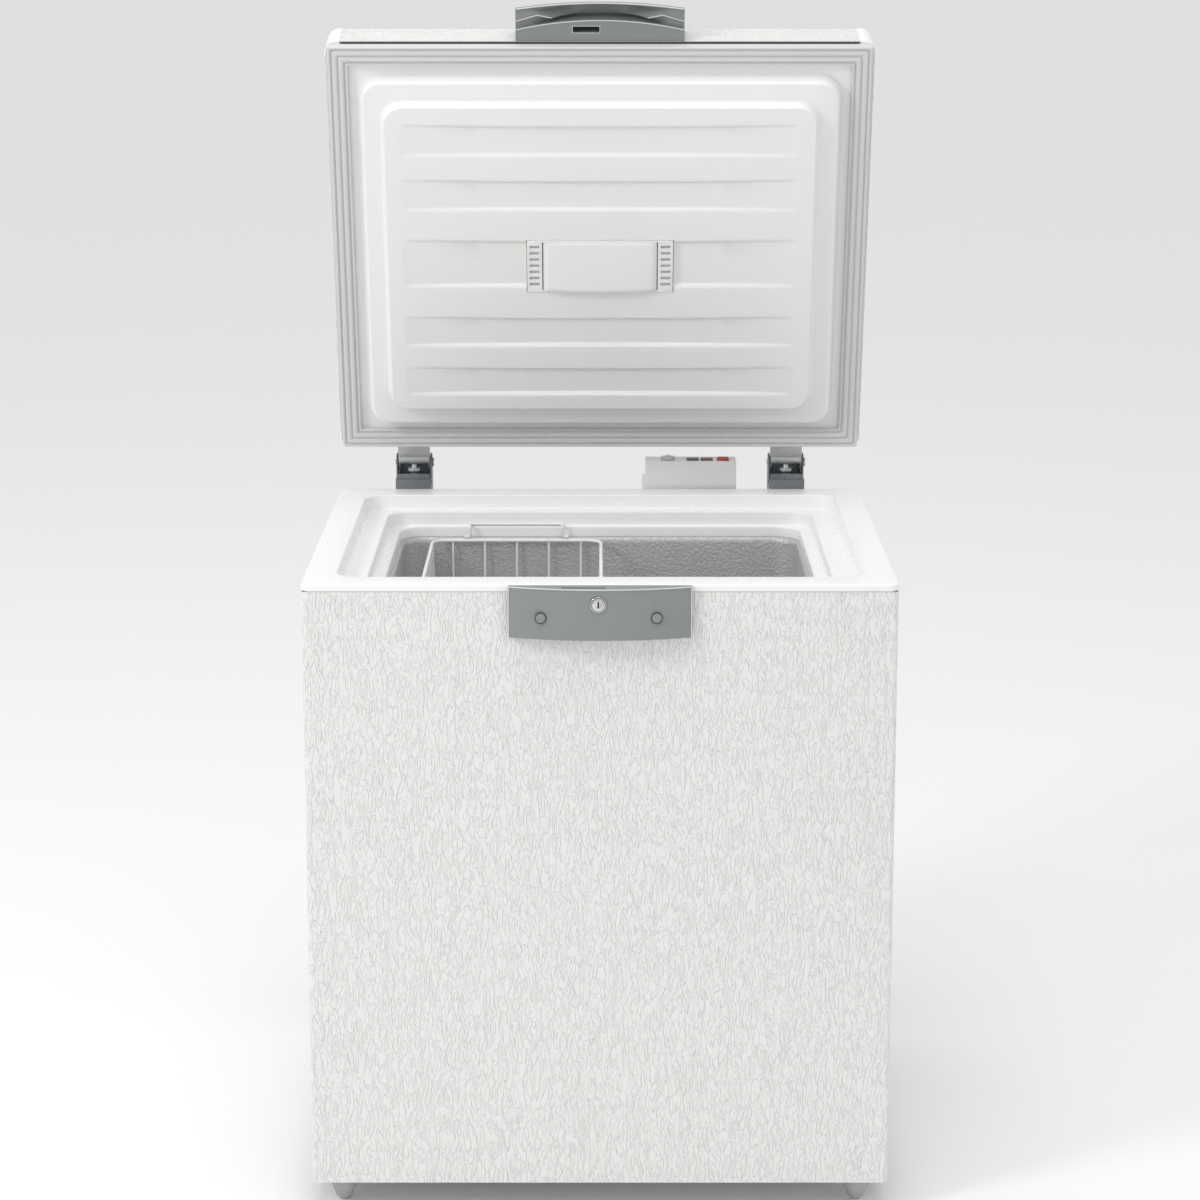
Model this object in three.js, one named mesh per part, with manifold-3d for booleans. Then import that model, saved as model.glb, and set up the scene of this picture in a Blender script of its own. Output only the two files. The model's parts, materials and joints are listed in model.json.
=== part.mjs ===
// Chest freezer with a counterbalanced lid, shown with the lid open.
// Units are millimetres, +Z is up and the front of the cabinet faces -Y.
// The parts are drawn with x = 0 on the centre line, y = 0 on the front of the rim and z = 0 on the floor,
// and the lid's parts are drawn as if the lid were closed, then turned about the hinge pins.
import * as THREE from 'three';
import { mergeVertices } from 'three/addons/utils/BufferGeometryUtils.js';
import Module from 'manifold-3d';

// ---------------------------------------------------------------- driving dimensions
const WIDTH = 730;
const DEPTH = 594;
const RIM_TOP = 815;
const CABINET_BOTTOM = 38;
const LID_THICKNESS = 70;
const LID_OPEN_DEGREES = 75;
const GAP = 0.3;
const SHEET = 0.8;

const RIM_SKIRT = 9;
const SHELL_HALF = WIDTH / 2 - 1;
const SHELL_TOP = RIM_TOP - RIM_SKIRT;

// recess steps of the rim, each as half width, front y, back y, floor height and corner radius
const RECESS_1 = { half: 325, front: 45, back: 549, floor: RIM_TOP - 19.5, radius: 30 };
const RECESS_2 = { half: 292, front: 66, back: 528, floor: RIM_TOP - 39, radius: 32 };
const RECESS_3 = { half: 274, front: 74, back: 520, floor: RIM_TOP - 54, radius: 34 };
const TUB = { half: 271, front: 77, back: 517, floor: 112, radius: 35, wall: 1, flange: 12 };
const STEP = { wallX: 85, top: 330 };
const BAY = { left: 112, front: 250, bottom: CABINET_BOTTOM + 2, top: 298 };

const PIVOT_Y = DEPTH + 33;
const PIVOT_Z = RIM_TOP + 32;
const HINGE_X = 263;

const LID_BOTTOM = RIM_TOP + GAP;
const LID_TOP = RIM_TOP + LID_THICKNESS;
const LINER_PLANE = RIM_TOP + 12;
const CAP_SIZE = 21;
const PLATEAU_1 = { half: 316, front: 49, back: 545, floor: RIM_TOP - 13, radius: 24 };
const PLATEAU_2 = { half: 285, front: 80, back: 514, floor: RIM_TOP - 29, radius: 25 };
const LAMP = { half: 99, front: 265, back: 341 };
// The lid lining's pressed bands, as front and back y, with their half width and depth.
const BANDS = [[103, 145], [180, 222], [266, 332], [378, 420], [453, 493]];
const BAND = { half: 236, depth: 4 };

const LOCK = { x: -2, z: RIM_TOP - 19, plugRadius: 8, camReach: 44, camHalf: 3.5 };
const CAM_FRONT = -16.3;
const CAM_BACK = -13.8;
const CONTROL = { left: 64, right: 192, front: DEPTH + 4, back: DEPTH + 42, bottom: 770, top: RIM_TOP + 38 };

// ---------------------------------------------------------------- solid helpers
const wasm = await Module();
wasm.setup();

function solidOf(geometry) {
  const bare = geometry.index ? geometry.toNonIndexed() : geometry.clone();
  bare.deleteAttribute('normal');
  bare.deleteAttribute('uv');
  const merged = mergeVertices(bare, 1e-4);
  return new wasm.Manifold(new wasm.Mesh({
    numProp: 3,
    vertProperties: new Float32Array(merged.attributes.position.array),
    triVerts: new Uint32Array(merged.index.array),
  }));
}

function geometryOf(solid) {
  const mesh = solid.getMesh();
  const geometry = new THREE.BufferGeometry();
  geometry.setAttribute('position', new THREE.BufferAttribute(new Float32Array(mesh.vertProperties), 3));
  geometry.setIndex(new THREE.BufferAttribute(new Uint32Array(mesh.triVerts), 1));
  return geometry;
}

// A box from its lowest and highest corners.
function box(x0, y0, z0, x1, y1, z1) {
  const geometry = new THREE.BoxGeometry(x1 - x0, y1 - y0, z1 - z0);
  geometry.translate((x0 + x1) / 2, (y0 + y1) / 2, (z0 + z1) / 2);
  return solidOf(geometry);
}

// A cylinder along x, y or z from one end to the other; a second radius makes it a cone.
function rod(axis, centre, start, end, radius, sides = 20, endRadius = radius) {
  const geometry = new THREE.CylinderGeometry(endRadius, radius, end - start, sides);
  const middle = (start + end) / 2;
  if (axis === 'x') {
    geometry.rotateZ(-Math.PI / 2);
    geometry.translate(middle, centre[0], centre[1]);
  } else if (axis === 'y') {
    geometry.translate(centre[0], middle, centre[1]);
  } else {
    geometry.rotateX(Math.PI / 2);
    geometry.translate(centre[0], centre[1], middle);
  }
  return solidOf(geometry);
}

// An outline in the XY plane carried from z0 to z1.
function prism(outline, z0, z1, segments = 5) {
  const geometry = new THREE.ExtrudeGeometry(outline, {
    depth: z1 - z0, bevelEnabled: false, curveSegments: segments, steps: 1,
  });
  geometry.translate(0, 0, z0);
  return solidOf(geometry);
}

function roundedRectangle(x0, y0, x1, y1, radius) {
  const shape = new THREE.Shape();
  shape.moveTo(x0 + radius, y0);
  shape.lineTo(x1 - radius, y0);
  shape.absarc(x1 - radius, y0 + radius, radius, -Math.PI / 2, 0, false);
  shape.lineTo(x1, y1 - radius);
  shape.absarc(x1 - radius, y1 - radius, radius, 0, Math.PI / 2, false);
  shape.lineTo(x0 + radius, y1);
  shape.absarc(x0 + radius, y1 - radius, radius, Math.PI / 2, Math.PI, false);
  shape.lineTo(x0, y0 + radius);
  shape.absarc(x0 + radius, y0 + radius, radius, Math.PI, Math.PI * 1.5, false);
  return shape;
}

// One step of a rim recess or lid plateau, grown outwards by the given amount.
function stepBlock(step, grow, z0, z1) {
  const outline = roundedRectangle(-step.half - grow, step.front - grow, step.half + grow,
    step.back + grow, step.radius + grow);
  return prism(outline, z0, z1);
}

// A plan outline with a straight back at y = back and a front bowed from y = ends to y = middle.
function bowedOutline(half, back, ends, middle) {
  const shape = new THREE.Shape();
  const rise = ends - middle;
  const radius = (half * half + rise * rise) / (2 * rise);
  const swing = Math.asin(half / radius);
  shape.moveTo(half, back);
  shape.lineTo(-half, back);
  shape.lineTo(-half, ends);
  shape.absarc(0, middle + radius, radius, -Math.PI / 2 - swing, -Math.PI / 2 + swing, false);
  shape.lineTo(half, back);
  return shape;
}

// A path through a list of points that keeps every point, for pipes with short bends.
class PointPath extends THREE.Curve {
  constructor(points) {
    super();
    this.points = points;
  }
  getPoint(t, target = new THREE.Vector3()) {
    const place = Math.min(Math.max(t, 0), 1) * (this.points.length - 1);
    const index = Math.min(Math.floor(place), this.points.length - 2);
    return target.lerpVectors(this.points[index], this.points[index + 1], place - index);
  }
  getUtoTmapping(u) {
    return u;
  }
}

function pipe(points, radius, sides = 6) {
  const section = new THREE.Shape();
  for (let i = 0; i < sides; i += 1) {
    const angle = (i / sides) * 2 * Math.PI;
    const x = radius * Math.cos(angle);
    const y = radius * Math.sin(angle);
    if (i === 0) section.moveTo(x, y);
    else section.lineTo(x, y);
  }
  const geometry = new THREE.ExtrudeGeometry(section, {
    steps: points.length - 1, bevelEnabled: false, extrudePath: new PointPath(points),
  });
  return solidOf(geometry);
}

const V = (x, y, z) => new THREE.Vector3(x, y, z);

// Turns the corners of a polyline into short bends of a few straight pieces.
function bent(corners, radius, pieces = 3) {
  const points = [corners[0]];
  for (let i = 1; i < corners.length - 1; i += 1) {
    const before = corners[i - 1].clone().sub(corners[i]).setLength(radius).add(corners[i]);
    const after = corners[i + 1].clone().sub(corners[i]).setLength(radius).add(corners[i]);
    const curve = new THREE.QuadraticBezierCurve3(before, corners[i], after);
    points.push(...curve.getPoints(pieces));
  }
  points.push(corners[corners.length - 1]);
  return points;
}

// ---------------------------------------------------------------- scene graph
const freezer = new THREE.Group();
const body = new THREE.Group();
const lidTurn = new THREE.Group();
const lid = new THREE.Group();
freezer.add(body);
body.add(lidTurn);
lidTurn.add(lid);
lidTurn.position.set(0, PIVOT_Y, PIVOT_Z);
lidTurn.rotation.x = -THREE.MathUtils.degToRad(LID_OPEN_DEGREES);
lid.position.set(0, -PIVOT_Y, -PIVOT_Z);

const FINISH = {
  skin: [0xe4e4e2, 0.45, 0.0],
  moulding: [0xf2f2f0, 0.35, 0.0],
  tub: [0x9a9a99, 0.35, 0.9],
  foam: [0xe8dca0, 0.9, 0.0],
  copper: [0xb87048, 0.35, 1.0],
  zinc: [0x9c9fa0, 0.4, 0.9],
  lock_grey: [0x8e9090, 0.4, 0.0],
  chrome: [0xc8cacc, 0.15, 1.0],
  gasket: [0xd0d0d2, 0.6, 0.0],
  wire: [0xf0f0ee, 0.4, 0.0],
  lens: [0xe5e4e4, 0.3, 0.0],
  bulb: [0xf4f1e6, 0.1, 0.0],
  black: [0x1c1d1f, 0.5, 0.2],
  foot: [0xc2c3c4, 0.5, 0.0],
  green: [0x1c5a34, 0.25, 0.0],
  red: [0x7c1418, 0.25, 0.0],
  orange: [0xd8481c, 0.25, 0.0],
};

function add(group, name, solid, finish) {
  const [color, roughness, metalness] = FINISH[finish];
  const material = new THREE.MeshStandardMaterial({ color, roughness, metalness });
  const mesh = new THREE.Mesh(geometryOf(solid), material);
  mesh.name = name;
  group.add(mesh);
  return mesh;
}

// ---------------------------------------------------------------- cabinet
const DRAIN = { x: -222, y: 125, hole: 14, tube: 10 };
const COIL_INNER = 6.5;
const PIPE_RADIUS = 3.2;
// The coils lie in shallow reliefs in the foam, and two channels lead their ends down into the bay.
const INNER_RELIEF = { depth: 13, bottom: 345, top: 735 };
const OUTER_RELIEF = { depth: 18, bottom: 335, top: 715 };

function cabinetShell() {
  const outer = prism(roundedRectangle(-SHELL_HALF, 1, SHELL_HALF, DEPTH + 40, 7),
    CABINET_BOTTOM, SHELL_TOP - GAP, 3);
  const inner = prism(roundedRectangle(-SHELL_HALF + SHEET, 1 + SHEET, SHELL_HALF - SHEET, DEPTH + 40, 6.2),
    CABINET_BOTTOM - 5, SHELL_TOP + 5, 3);
  const rear = box(-400, DEPTH - 2, 0, 400, DEPTH + 60, 900);
  const sideOpening = box(SHELL_HALF - 5, 300, 70, SHELL_HALF + 5, 560, 280);
  return outer.subtract(inner).subtract(rear).subtract(sideOpening);
}

function backPanel() {
  const half = SHELL_HALF - 1;
  const sheet = box(-half, DEPTH - 1.6, CABINET_BOTTOM, half, DEPTH - 0.6, SHELL_TOP - GAP);
  return sheet.subtract(box(BAY.left, DEPTH - 5, 0, SHELL_HALF + 5, DEPTH + 5, BAY.top));
}

function baseTray() {
  const half = SHELL_HALF - SHEET - GAP;
  const floor = prism(roundedRectangle(-half, 2 + SHEET, half, DEPTH - 2.5, 7),
    CABINET_BOTTOM, CABINET_BOTTOM + 1.2, 3);
  return floor.subtract(rod('z', [DRAIN.x, DRAIN.y], 0, 100, DRAIN.tube + GAP));
}

// A rectangular helix round the cabinet, falling from z0 to z1, with both ends led down into the bay.
function coilPath(half, front, back, z0, z1, turns, dropX, riserOffset) {
  const corners = [];
  const radius = 46;
  const perTurn = 4;
  const signs = [[1, 1], [-1, 1], [-1, -1], [1, -1]];
  const bayPoint = BAY.top - 25;
  corners.push(V(dropX, back + riserOffset, bayPoint));
  corners.push(V(dropX, back + riserOffset, z0 + 22));
  corners.push(V(half, back, z0));
  for (let i = 1; i < turns * perTurn; i += 1) {
    const [sx, sy] = signs[i % perTurn];
    const z = z0 + ((z1 - z0) * i) / (turns * perTurn);
    corners.push(V(sx * half, sy > 0 ? back : front, z));
  }
  corners.push(V(half, back, z1));
  corners.push(V(dropX - 40, back, z1));
  corners.push(V(dropX - 40, back, bayPoint));
  return bent(corners, radius, 2).filter((p, i, all) => i === 0 || p.distanceTo(all[i - 1]) > 0.5);
}

const EVAPORATOR_PATH = coilPath(TUB.half + TUB.wall + COIL_INNER, TUB.front - TUB.wall - COIL_INNER,
  TUB.back + TUB.wall + COIL_INNER, 720, 360, 5, 240, 14);
const CONDENSER_PATH = coilPath(SHELL_HALF - 12, 1 + 12, DEPTH - 14, 700, 350, 4, 320, -14);

function tubVolume(grow, top) {
  const floor = TUB.floor - grow;
  const block = stepBlock(TUB, grow, floor, top);
  return block.subtract(box(STEP.wallX + grow, 0, 0, 400, DEPTH, STEP.top - grow));
}

function innerTub() {
  const flangeTop = RECESS_3.floor - GAP;
  const sheet = tubVolume(TUB.wall, flangeTop)
    .add(stepBlock(TUB, TUB.wall + TUB.flange, flangeTop - TUB.wall, flangeTop));
  return sheet
    .subtract(tubVolume(0, flangeTop + 5))
    .subtract(rod('z', [DRAIN.x, DRAIN.y], 50, 200, DRAIN.hole));
}

// The room left in the foam for the tub, with square corners.
function foamCavity(top) {
  const grow = TUB.wall + GAP;
  return box(-TUB.half - grow, TUB.front - grow, TUB.floor - grow, TUB.half + grow, TUB.back + grow, top)
    .subtract(box(STEP.wallX + grow, 0, 0, 400, DEPTH, STEP.top - grow));
}

function cabinetFoam() {
  const half = SHELL_HALF - SHEET - GAP;
  const top = RECESS_3.floor - GAP - TUB.wall - GAP;
  const block = prism(roundedRectangle(-half, 1 + SHEET + GAP, half, DEPTH - 2, 6),
    CABINET_BOTTOM + 1.6, top, 3);
  const bay = box(BAY.left, BAY.front, 0, half + 5, DEPTH + 5, BAY.top);
  const around = box(-400, -10, OUTER_RELIEF.bottom, 400, DEPTH + 10, OUTER_RELIEF.top);
  const inset = OUTER_RELIEF.depth;
  const inner = INNER_RELIEF.depth;
  const drain = DRAIN.hole + 3;
  const side = SHELL_HALF - inset;
  const kept = prism(roundedRectangle(-side, 1 + inset, side, DEPTH - 2 - inset, 50), 0, 900, 4);
  return block.subtract(foamCavity(top + 5)).subtract(bay)
    .subtract(box(-TUB.half - inner, TUB.front - inner, INNER_RELIEF.bottom,
      TUB.half + inner, TUB.back + inner, INNER_RELIEF.top))
    .subtract(around.subtract(kept))
    .subtract(box(194, TUB.back, BAY.top - 8, 300, TUB.back + 27, INNER_RELIEF.top + 17))
    .subtract(box(274, DEPTH - 36, BAY.top - 8, 356, DEPTH + 5, OUTER_RELIEF.top + 17))
    .subtract(box(DRAIN.x - drain, DRAIN.y - drain, 0, DRAIN.x + drain, DRAIN.y + drain, 200));
}

function rimFrame() {
  const skirt = prism(roundedRectangle(-WIDTH / 2, 0, WIDTH / 2, DEPTH, 12), SHELL_TOP, RIM_TOP);
  const half = SHELL_HALF - SHEET - GAP;
  const core = prism(roundedRectangle(-half, 1 + SHEET + GAP, half, DEPTH - 2, 6), RECESS_3.floor, SHELL_TOP);
  return skirt.add(core)
    .subtract(stepBlock(RECESS_1, 0, RECESS_1.floor, RIM_TOP + 5))
    .subtract(stepBlock(RECESS_2, 0, RECESS_2.floor, RIM_TOP))
    .subtract(stepBlock(RECESS_3, 0, RECESS_3.floor - 5, RIM_TOP - 20));
}

function drainPlug() {
  const head = rod('z', [DRAIN.x, DRAIN.y], TUB.floor + GAP, TUB.floor + 5, DRAIN.hole + 4, 18);
  const stem = rod('z', [DRAIN.x, DRAIN.y], TUB.floor - 14, TUB.floor + 2, DRAIN.hole - 5, 18);
  const grip = box(DRAIN.x - 10, DRAIN.y - 1.5, TUB.floor + 4, DRAIN.x + 10, DRAIN.y + 1.5, TUB.floor + 18);
  return head.add(stem).add(grip);
}

function drainTube() {
  const collarTop = TUB.floor - TUB.wall - GAP;
  const wall = rod('z', [DRAIN.x, DRAIN.y], CABINET_BOTTOM - 12, collarTop, DRAIN.tube, 18)
    .add(rod('z', [DRAIN.x, DRAIN.y], collarTop - 22, collarTop, DRAIN.hole + 2.5, 18));
  return wall.subtract(rod('z', [DRAIN.x, DRAIN.y], 0, 200, DRAIN.tube - 2, 18))
    .subtract(rod('z', [DRAIN.x, DRAIN.y], collarTop - 20, 200, DRAIN.hole, 18));
}

function foot(x, y) {
  const profile = [[0, 0], [6, 0], [6.5, 5], [11, 6], [13, 14], [16.5, 22], [17.5, 32],
    [17.5, CABINET_BOTTOM - GAP], [0, CABINET_BOTTOM - GAP]];
  const geometry = new THREE.LatheGeometry(profile.map(([r, h]) => new THREE.Vector2(r, h)), 16);
  geometry.rotateX(Math.PI / 2);
  geometry.translate(x, y, 0);
  return solidOf(geometry);
}

add(body, 'cabinet_shell', cabinetShell(), 'skin');
add(body, 'back_panel', backPanel(), 'zinc');
add(body, 'base_tray', baseTray(), 'zinc');
add(body, 'cabinet_foam', cabinetFoam(), 'foam');
add(body, 'rim_frame', rimFrame(), 'moulding');
add(body, 'inner_tub', innerTub(), 'tub');
add(body, 'evaporator_coil', pipe(EVAPORATOR_PATH, PIPE_RADIUS, 6), 'copper');
add(body, 'condenser_coil', pipe(CONDENSER_PATH, PIPE_RADIUS, 6), 'copper');
add(body, 'drain_tube', drainTube(), 'moulding');
add(body, 'drain_plug', drainPlug(), 'moulding');
const FOOT_X = 327;
const FOOT_Y = 40;
const FEET = {
  front_left: [-1, FOOT_Y],
  front_right: [1, FOOT_Y],
  rear_left: [-1, DEPTH - FOOT_Y],
  rear_right: [1, DEPTH - FOOT_Y],
};
for (const [place, [side, y]] of Object.entries(FEET)) {
  add(body, `foot_${place}`, foot(side * FOOT_X, y), 'foot');
}

// ---------------------------------------------------------------- lock
const PANEL = { half: 111.5, bottom: RIM_TOP - 64, top: RIM_TOP - 0.4, ends: -8, middle: -25, wall: 3 };

const CAP_X = [-72, 69];
const CAP_Z = RIM_TOP - 37;
const CAP_RADIUS = 6.4;

function lockPanel() {
  const shell = prism(bowedOutline(PANEL.half, -GAP, PANEL.ends, PANEL.middle),
    PANEL.bottom, PANEL.top, 14);
  const { wall } = PANEL;
  const pocket = prism(bowedOutline(PANEL.half - wall, 5, PANEL.ends + wall, PANEL.middle + wall),
    PANEL.bottom + wall, PANEL.top - wall, 14);
  const camSlot = box(LOCK.x - LOCK.camReach - 1, CAM_FRONT - 1.5, PANEL.top - 10,
    LOCK.x + 8, CAM_BACK + 1.5, PANEL.top + 5);
  let solid = shell.subtract(pocket).subtract(camSlot);
  solid = solid.subtract(rod('y', [LOCK.x, LOCK.z], -40, CAM_FRONT - 1, LOCK.plugRadius + 2 + GAP, 24));
  for (const x of CAP_X) {
    solid = solid.subtract(rod('y', [x, CAP_Z], -40, -10, CAP_RADIUS + GAP, 18));
  }
  return solid;
}

function lockBezel() {
  const outside = rod('y', [LOCK.x, LOCK.z], PANEL.middle - 1.5, PANEL.middle + 6, LOCK.plugRadius + 2, 24);
  return outside.subtract(rod('y', [LOCK.x, LOCK.z], -50, 0, LOCK.plugRadius + GAP, 24));
}

function lockPlug() {
  const plug = rod('y', [LOCK.x, LOCK.z], PANEL.middle - 2, CAM_FRONT - GAP, LOCK.plugRadius, 24);
  const keyway = box(LOCK.x - 1, PANEL.middle - 5, LOCK.z - 4, LOCK.x + 1, PANEL.middle + 3, LOCK.z + 4);
  return plug.subtract(keyway);
}

function lockCam() {
  const hub = rod('y', [LOCK.x, LOCK.z], CAM_FRONT, CAM_BACK, LOCK.plugRadius, 16);
  const arm = box(LOCK.x - LOCK.camReach, CAM_FRONT, LOCK.z - LOCK.camHalf,
    LOCK.x, CAM_BACK, LOCK.z + LOCK.camHalf);
  return hub.add(arm);
}

add(body, 'lock_panel', lockPanel(), 'lock_grey');
add(body, 'lock_bezel', lockBezel(), 'chrome');
add(body, 'lock_plug', lockPlug(), 'chrome');
add(body, 'lock_cam', lockCam(), 'zinc');
add(body, 'lock_nut', rod('y', [LOCK.x, LOCK.z], CAM_BACK + GAP, CAM_BACK + 4, 6, 6), 'zinc');
['left', 'right'].forEach((side, i) => {
  add(body, `screw_cap_${side}`, rod('y', [CAP_X[i], CAP_Z], -21.5, -13, CAP_RADIUS, 18), 'lock_grey');
});

// ---------------------------------------------------------------- control box at the back
const KNOB = { x: 96, y: DEPTH + 23, radius: 10 };
const LAMPS = { run_lamp: [131, 'green'], alarm_lamp: [151, 'red'] };
const ROCKER = { x: 174, half: 8, top: CONTROL.top + 2 };
const WINDOW = { half: 8, front: DEPTH + 11, back: DEPTH + 33 };

function windowBlock(x, grow, z0, z1) {
  return box(x - WINDOW.half - grow, WINDOW.front - grow, z0, x + WINDOW.half + grow, WINDOW.back + grow, z1);
}

function controlBox() {
  const wall = 2.5;
  const c = CONTROL;
  let solid = box(c.left, c.front, c.bottom, c.right, c.back, c.top)
    .add(box(c.left - 5, c.front, c.bottom, c.right, c.front + 12, RIM_TOP + 18))
    .subtract(box(c.left + wall, c.front + wall, c.bottom - 5, c.right - wall, c.back - wall, c.top - wall));
  for (const x of [LAMPS.run_lamp[0], LAMPS.alarm_lamp[0], ROCKER.x]) {
    solid = solid.subtract(windowBlock(x, GAP, c.top - 10, c.top + 5));
  }
  return solid.subtract(rod('z', [KNOB.x, KNOB.y], c.top - 10, c.top + 5, 4, 14));
}

function knob() {
  const dial = rod('z', [KNOB.x, KNOB.y], CONTROL.top + GAP, CONTROL.top + 3.6, KNOB.radius, 24);
  const shaft = rod('z', [KNOB.x, KNOB.y], CONTROL.top - 14, CONTROL.top + 1, 3.6, 14);
  const ridge = box(KNOB.x - 1.5, KNOB.y - KNOB.radius + 1, CONTROL.top + 3,
    KNOB.x + 1.5, KNOB.y + KNOB.radius - 1, CONTROL.top + 5);
  return dial.add(shaft).add(ridge);
}

// A curved-bottom key that rocks about an axis along x without touching its window.
function rocker() {
  const key = box(ROCKER.x - WINDOW.half + 0.5, WINDOW.front + 1.5, CONTROL.top - 6,
    ROCKER.x + WINDOW.half - 0.5, WINDOW.back - 1.5, ROCKER.top);
  const middle = (WINDOW.front + WINDOW.back) / 2;
  const dip = rod('x', [middle, ROCKER.top + 24], ROCKER.x - 20, ROCKER.x + 20, 25, 48);
  return key.subtract(dip);
}

add(body, 'control_box', controlBox(), 'moulding');
add(body, 'thermostat_knob', knob(), 'moulding');
add(body, 'fast_freeze_key', rocker(), 'orange');
for (const [name, [x, finish]] of Object.entries(LAMPS)) {
  add(body, name, windowBlock(x, 0, CONTROL.top - 5, CONTROL.top + 0.5), finish);
}

// ---------------------------------------------------------------- basket
const BASKET = { left: -234, right: 4, front: 82, back: 512, bottom: 570, top: 761, wall: 4 };
const BASKET_HANDLE = { left: -180, right: -52, top: RECESS_2.floor + GAP + 2.2, wire: 2.2 };

function basket() {
  const b = BASKET;
  const w = b.wall;
  return prism(roundedRectangle(b.left, b.front, b.right, b.back, 20), b.bottom, b.top, 3)
    .subtract(prism(roundedRectangle(b.left + w, b.front + w, b.right - w, b.back - w, 16),
      b.bottom + w, b.top + 5, 3));
}

// A wire loop that stands on the basket's edge and reaches out over the rim's ledge.
// The basket hangs by it.
function basketHandle(y, out) {
  const h = BASKET_HANDLE;
  const low = BASKET.top + GAP + h.wire;
  const corners = [V(h.left - 6, y, low), V(h.left, y, low), V(h.left, y, h.top), V(h.left, out, h.top),
    V(h.right, out, h.top), V(h.right, y, h.top), V(h.right, y, low), V(h.right + 6, y, low)];
  return pipe(bent(corners, 4.5).filter((p, i, all) => i === 0 || p.distanceTo(all[i - 1]) > 0.6), h.wire, 6);
}

add(body, 'basket', basket(), 'wire');
add(body, 'basket_handle_front', basketHandle(BASKET.front + 2, RECESS_3.front - 4), 'wire');
add(body, 'basket_handle_rear', basketHandle(BASKET.back - 2, RECESS_3.back + 4), 'wire');

// ---------------------------------------------------------------- machine bay
const COMPRESSOR = { x: 235, y: 430, bottom: 62, radius: 62 };

function compressor() {
  const r = COMPRESSOR.radius;
  const z = COMPRESSOR.bottom;
  const profile = [[0, 0], [r - 14, 0], [r - 2, 14], [r, 30], [r, 92], [r + 3, 93], [r + 3, 99], [r, 100],
    [r - 3, 122], [r - 18, 140], [r - 40, 148], [0, 150]];
  const geometry = new THREE.LatheGeometry(profile.map(([a, b]) => new THREE.Vector2(a, b)), 24);
  geometry.rotateX(Math.PI / 2);
  geometry.translate(COMPRESSOR.x, COMPRESSOR.y, z);
  return solidOf(geometry);
}

function compressorRail() {
  const z = CABINET_BOTTOM + 1.2 + GAP;
  const half = 88;
  let rail = box(COMPRESSOR.x - half, COMPRESSOR.y - 55, z + 14,
    COMPRESSOR.x + half, COMPRESSOR.y + 55, z + 16.5);
  for (const sx of [-1, 1]) {
    for (const sy of [-1, 1]) {
      rail = rail.add(rod('z', [COMPRESSOR.x + sx * 74, COMPRESSOR.y + sy * 42], z, z + 20, 9, 12));
    }
  }
  return rail;
}

function sideGrille() {
  let plate = box(SHELL_HALF - SHEET - 1.5, 300 + GAP, 70 + GAP, WIDTH / 2 - 0.2, 560 - GAP, 280 - GAP)
    .subtract(box(SHELL_HALF - 10, 308, 78, SHELL_HALF - 0.5, 552, 272));
  for (let i = 0; i < 9; i += 1) {
    const z = 84 + i * 21;
    plate = plate.subtract(box(SHELL_HALF - 10, 316, z, WIDTH / 2 + 5, 544, z + 10));
  }
  return plate;
}

function rearCover() {
  let plate = box(BAY.left + GAP, DEPTH - 1.6, CABINET_BOTTOM + 2,
    SHELL_HALF - 1, DEPTH - 0.4, BAY.top - GAP);
  for (let row = 0; row < 4; row += 1) {
    const z = 120 + row * 40;
    plate = plate.subtract(box(150, DEPTH - 5, z, 320, DEPTH + 5, z + 14));
  }
  return plate.subtract(rod('y', [140, 72], DEPTH - 5, DEPTH + 5, 9, 20));
}

function cordGland() {
  const flange = rod('y', [140, 72], DEPTH - 0.1, DEPTH + 6, 13, 20);
  const barrel = rod('y', [140, 72], DEPTH - 14, DEPTH + 2, 8.6, 20);
  return flange.add(barrel).subtract(rod('y', [140, 72], DEPTH - 20, DEPTH + 12, 4.2, 14));
}

function filterDrier() {
  return rod('z', [140, 330], 130, 240, 9, 16).add(rod('z', [140, 330], 118, 132, 4, 10))
    .add(rod('z', [140, 330], 238, 252, 4, 10));
}

function shellPipe(side, topZ) {
  const x = COMPRESSOR.x + side * 40;
  const rear = COMPRESSOR.y - 74;
  const front = COMPRESSOR.y - 110;
  return pipe(bent([V(x, rear, 150), V(x, front, 150), V(x, front, topZ)], 16), 3.4, 8);
}

add(body, 'compressor', compressor(), 'black');
add(body, 'compressor_rail', compressorRail(), 'zinc');
add(body, 'terminal_cover', box(BAY.left + 14, 396, 92, COMPRESSOR.x - 68, 464, 158), 'black');
add(body, 'filter_drier', filterDrier(), 'copper');
add(body, 'suction_pipe', shellPipe(-1, 262), 'copper');
add(body, 'discharge_pipe', shellPipe(1, 240), 'copper');
add(body, 'side_grille', sideGrille(), 'moulding');
add(body, 'rear_cover', rearCover(), 'zinc');
add(body, 'cord_gland', cordGland(), 'black');

// ---------------------------------------------------------------- lid
function cornerCuts(size, z0, z1) {
  let cuts = null;
  for (const sx of [-1, 1]) {
    for (const y of [0, DEPTH]) {
      const x = (sx * WIDTH) / 2;
      const block = box(x - size, y - size, z0, x + size, y + size, z1);
      cuts = cuts ? cuts.add(block) : block;
    }
  }
  return cuts;
}

function lidSkin() {
  const half = WIDTH / 2 - 1;
  const bottom = LINER_PLANE + 2;
  const outside = box(-half, 1, bottom, half, DEPTH - 1, LID_TOP - 0.5);
  const inside = box(-half + SHEET, 1 + SHEET, bottom - 5,
    half - SHEET, DEPTH - 1 - SHEET, LID_TOP - 0.5 - SHEET);
  return outside.subtract(inside).subtract(cornerCuts(CAP_SIZE, 0, 1000));
}

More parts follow.
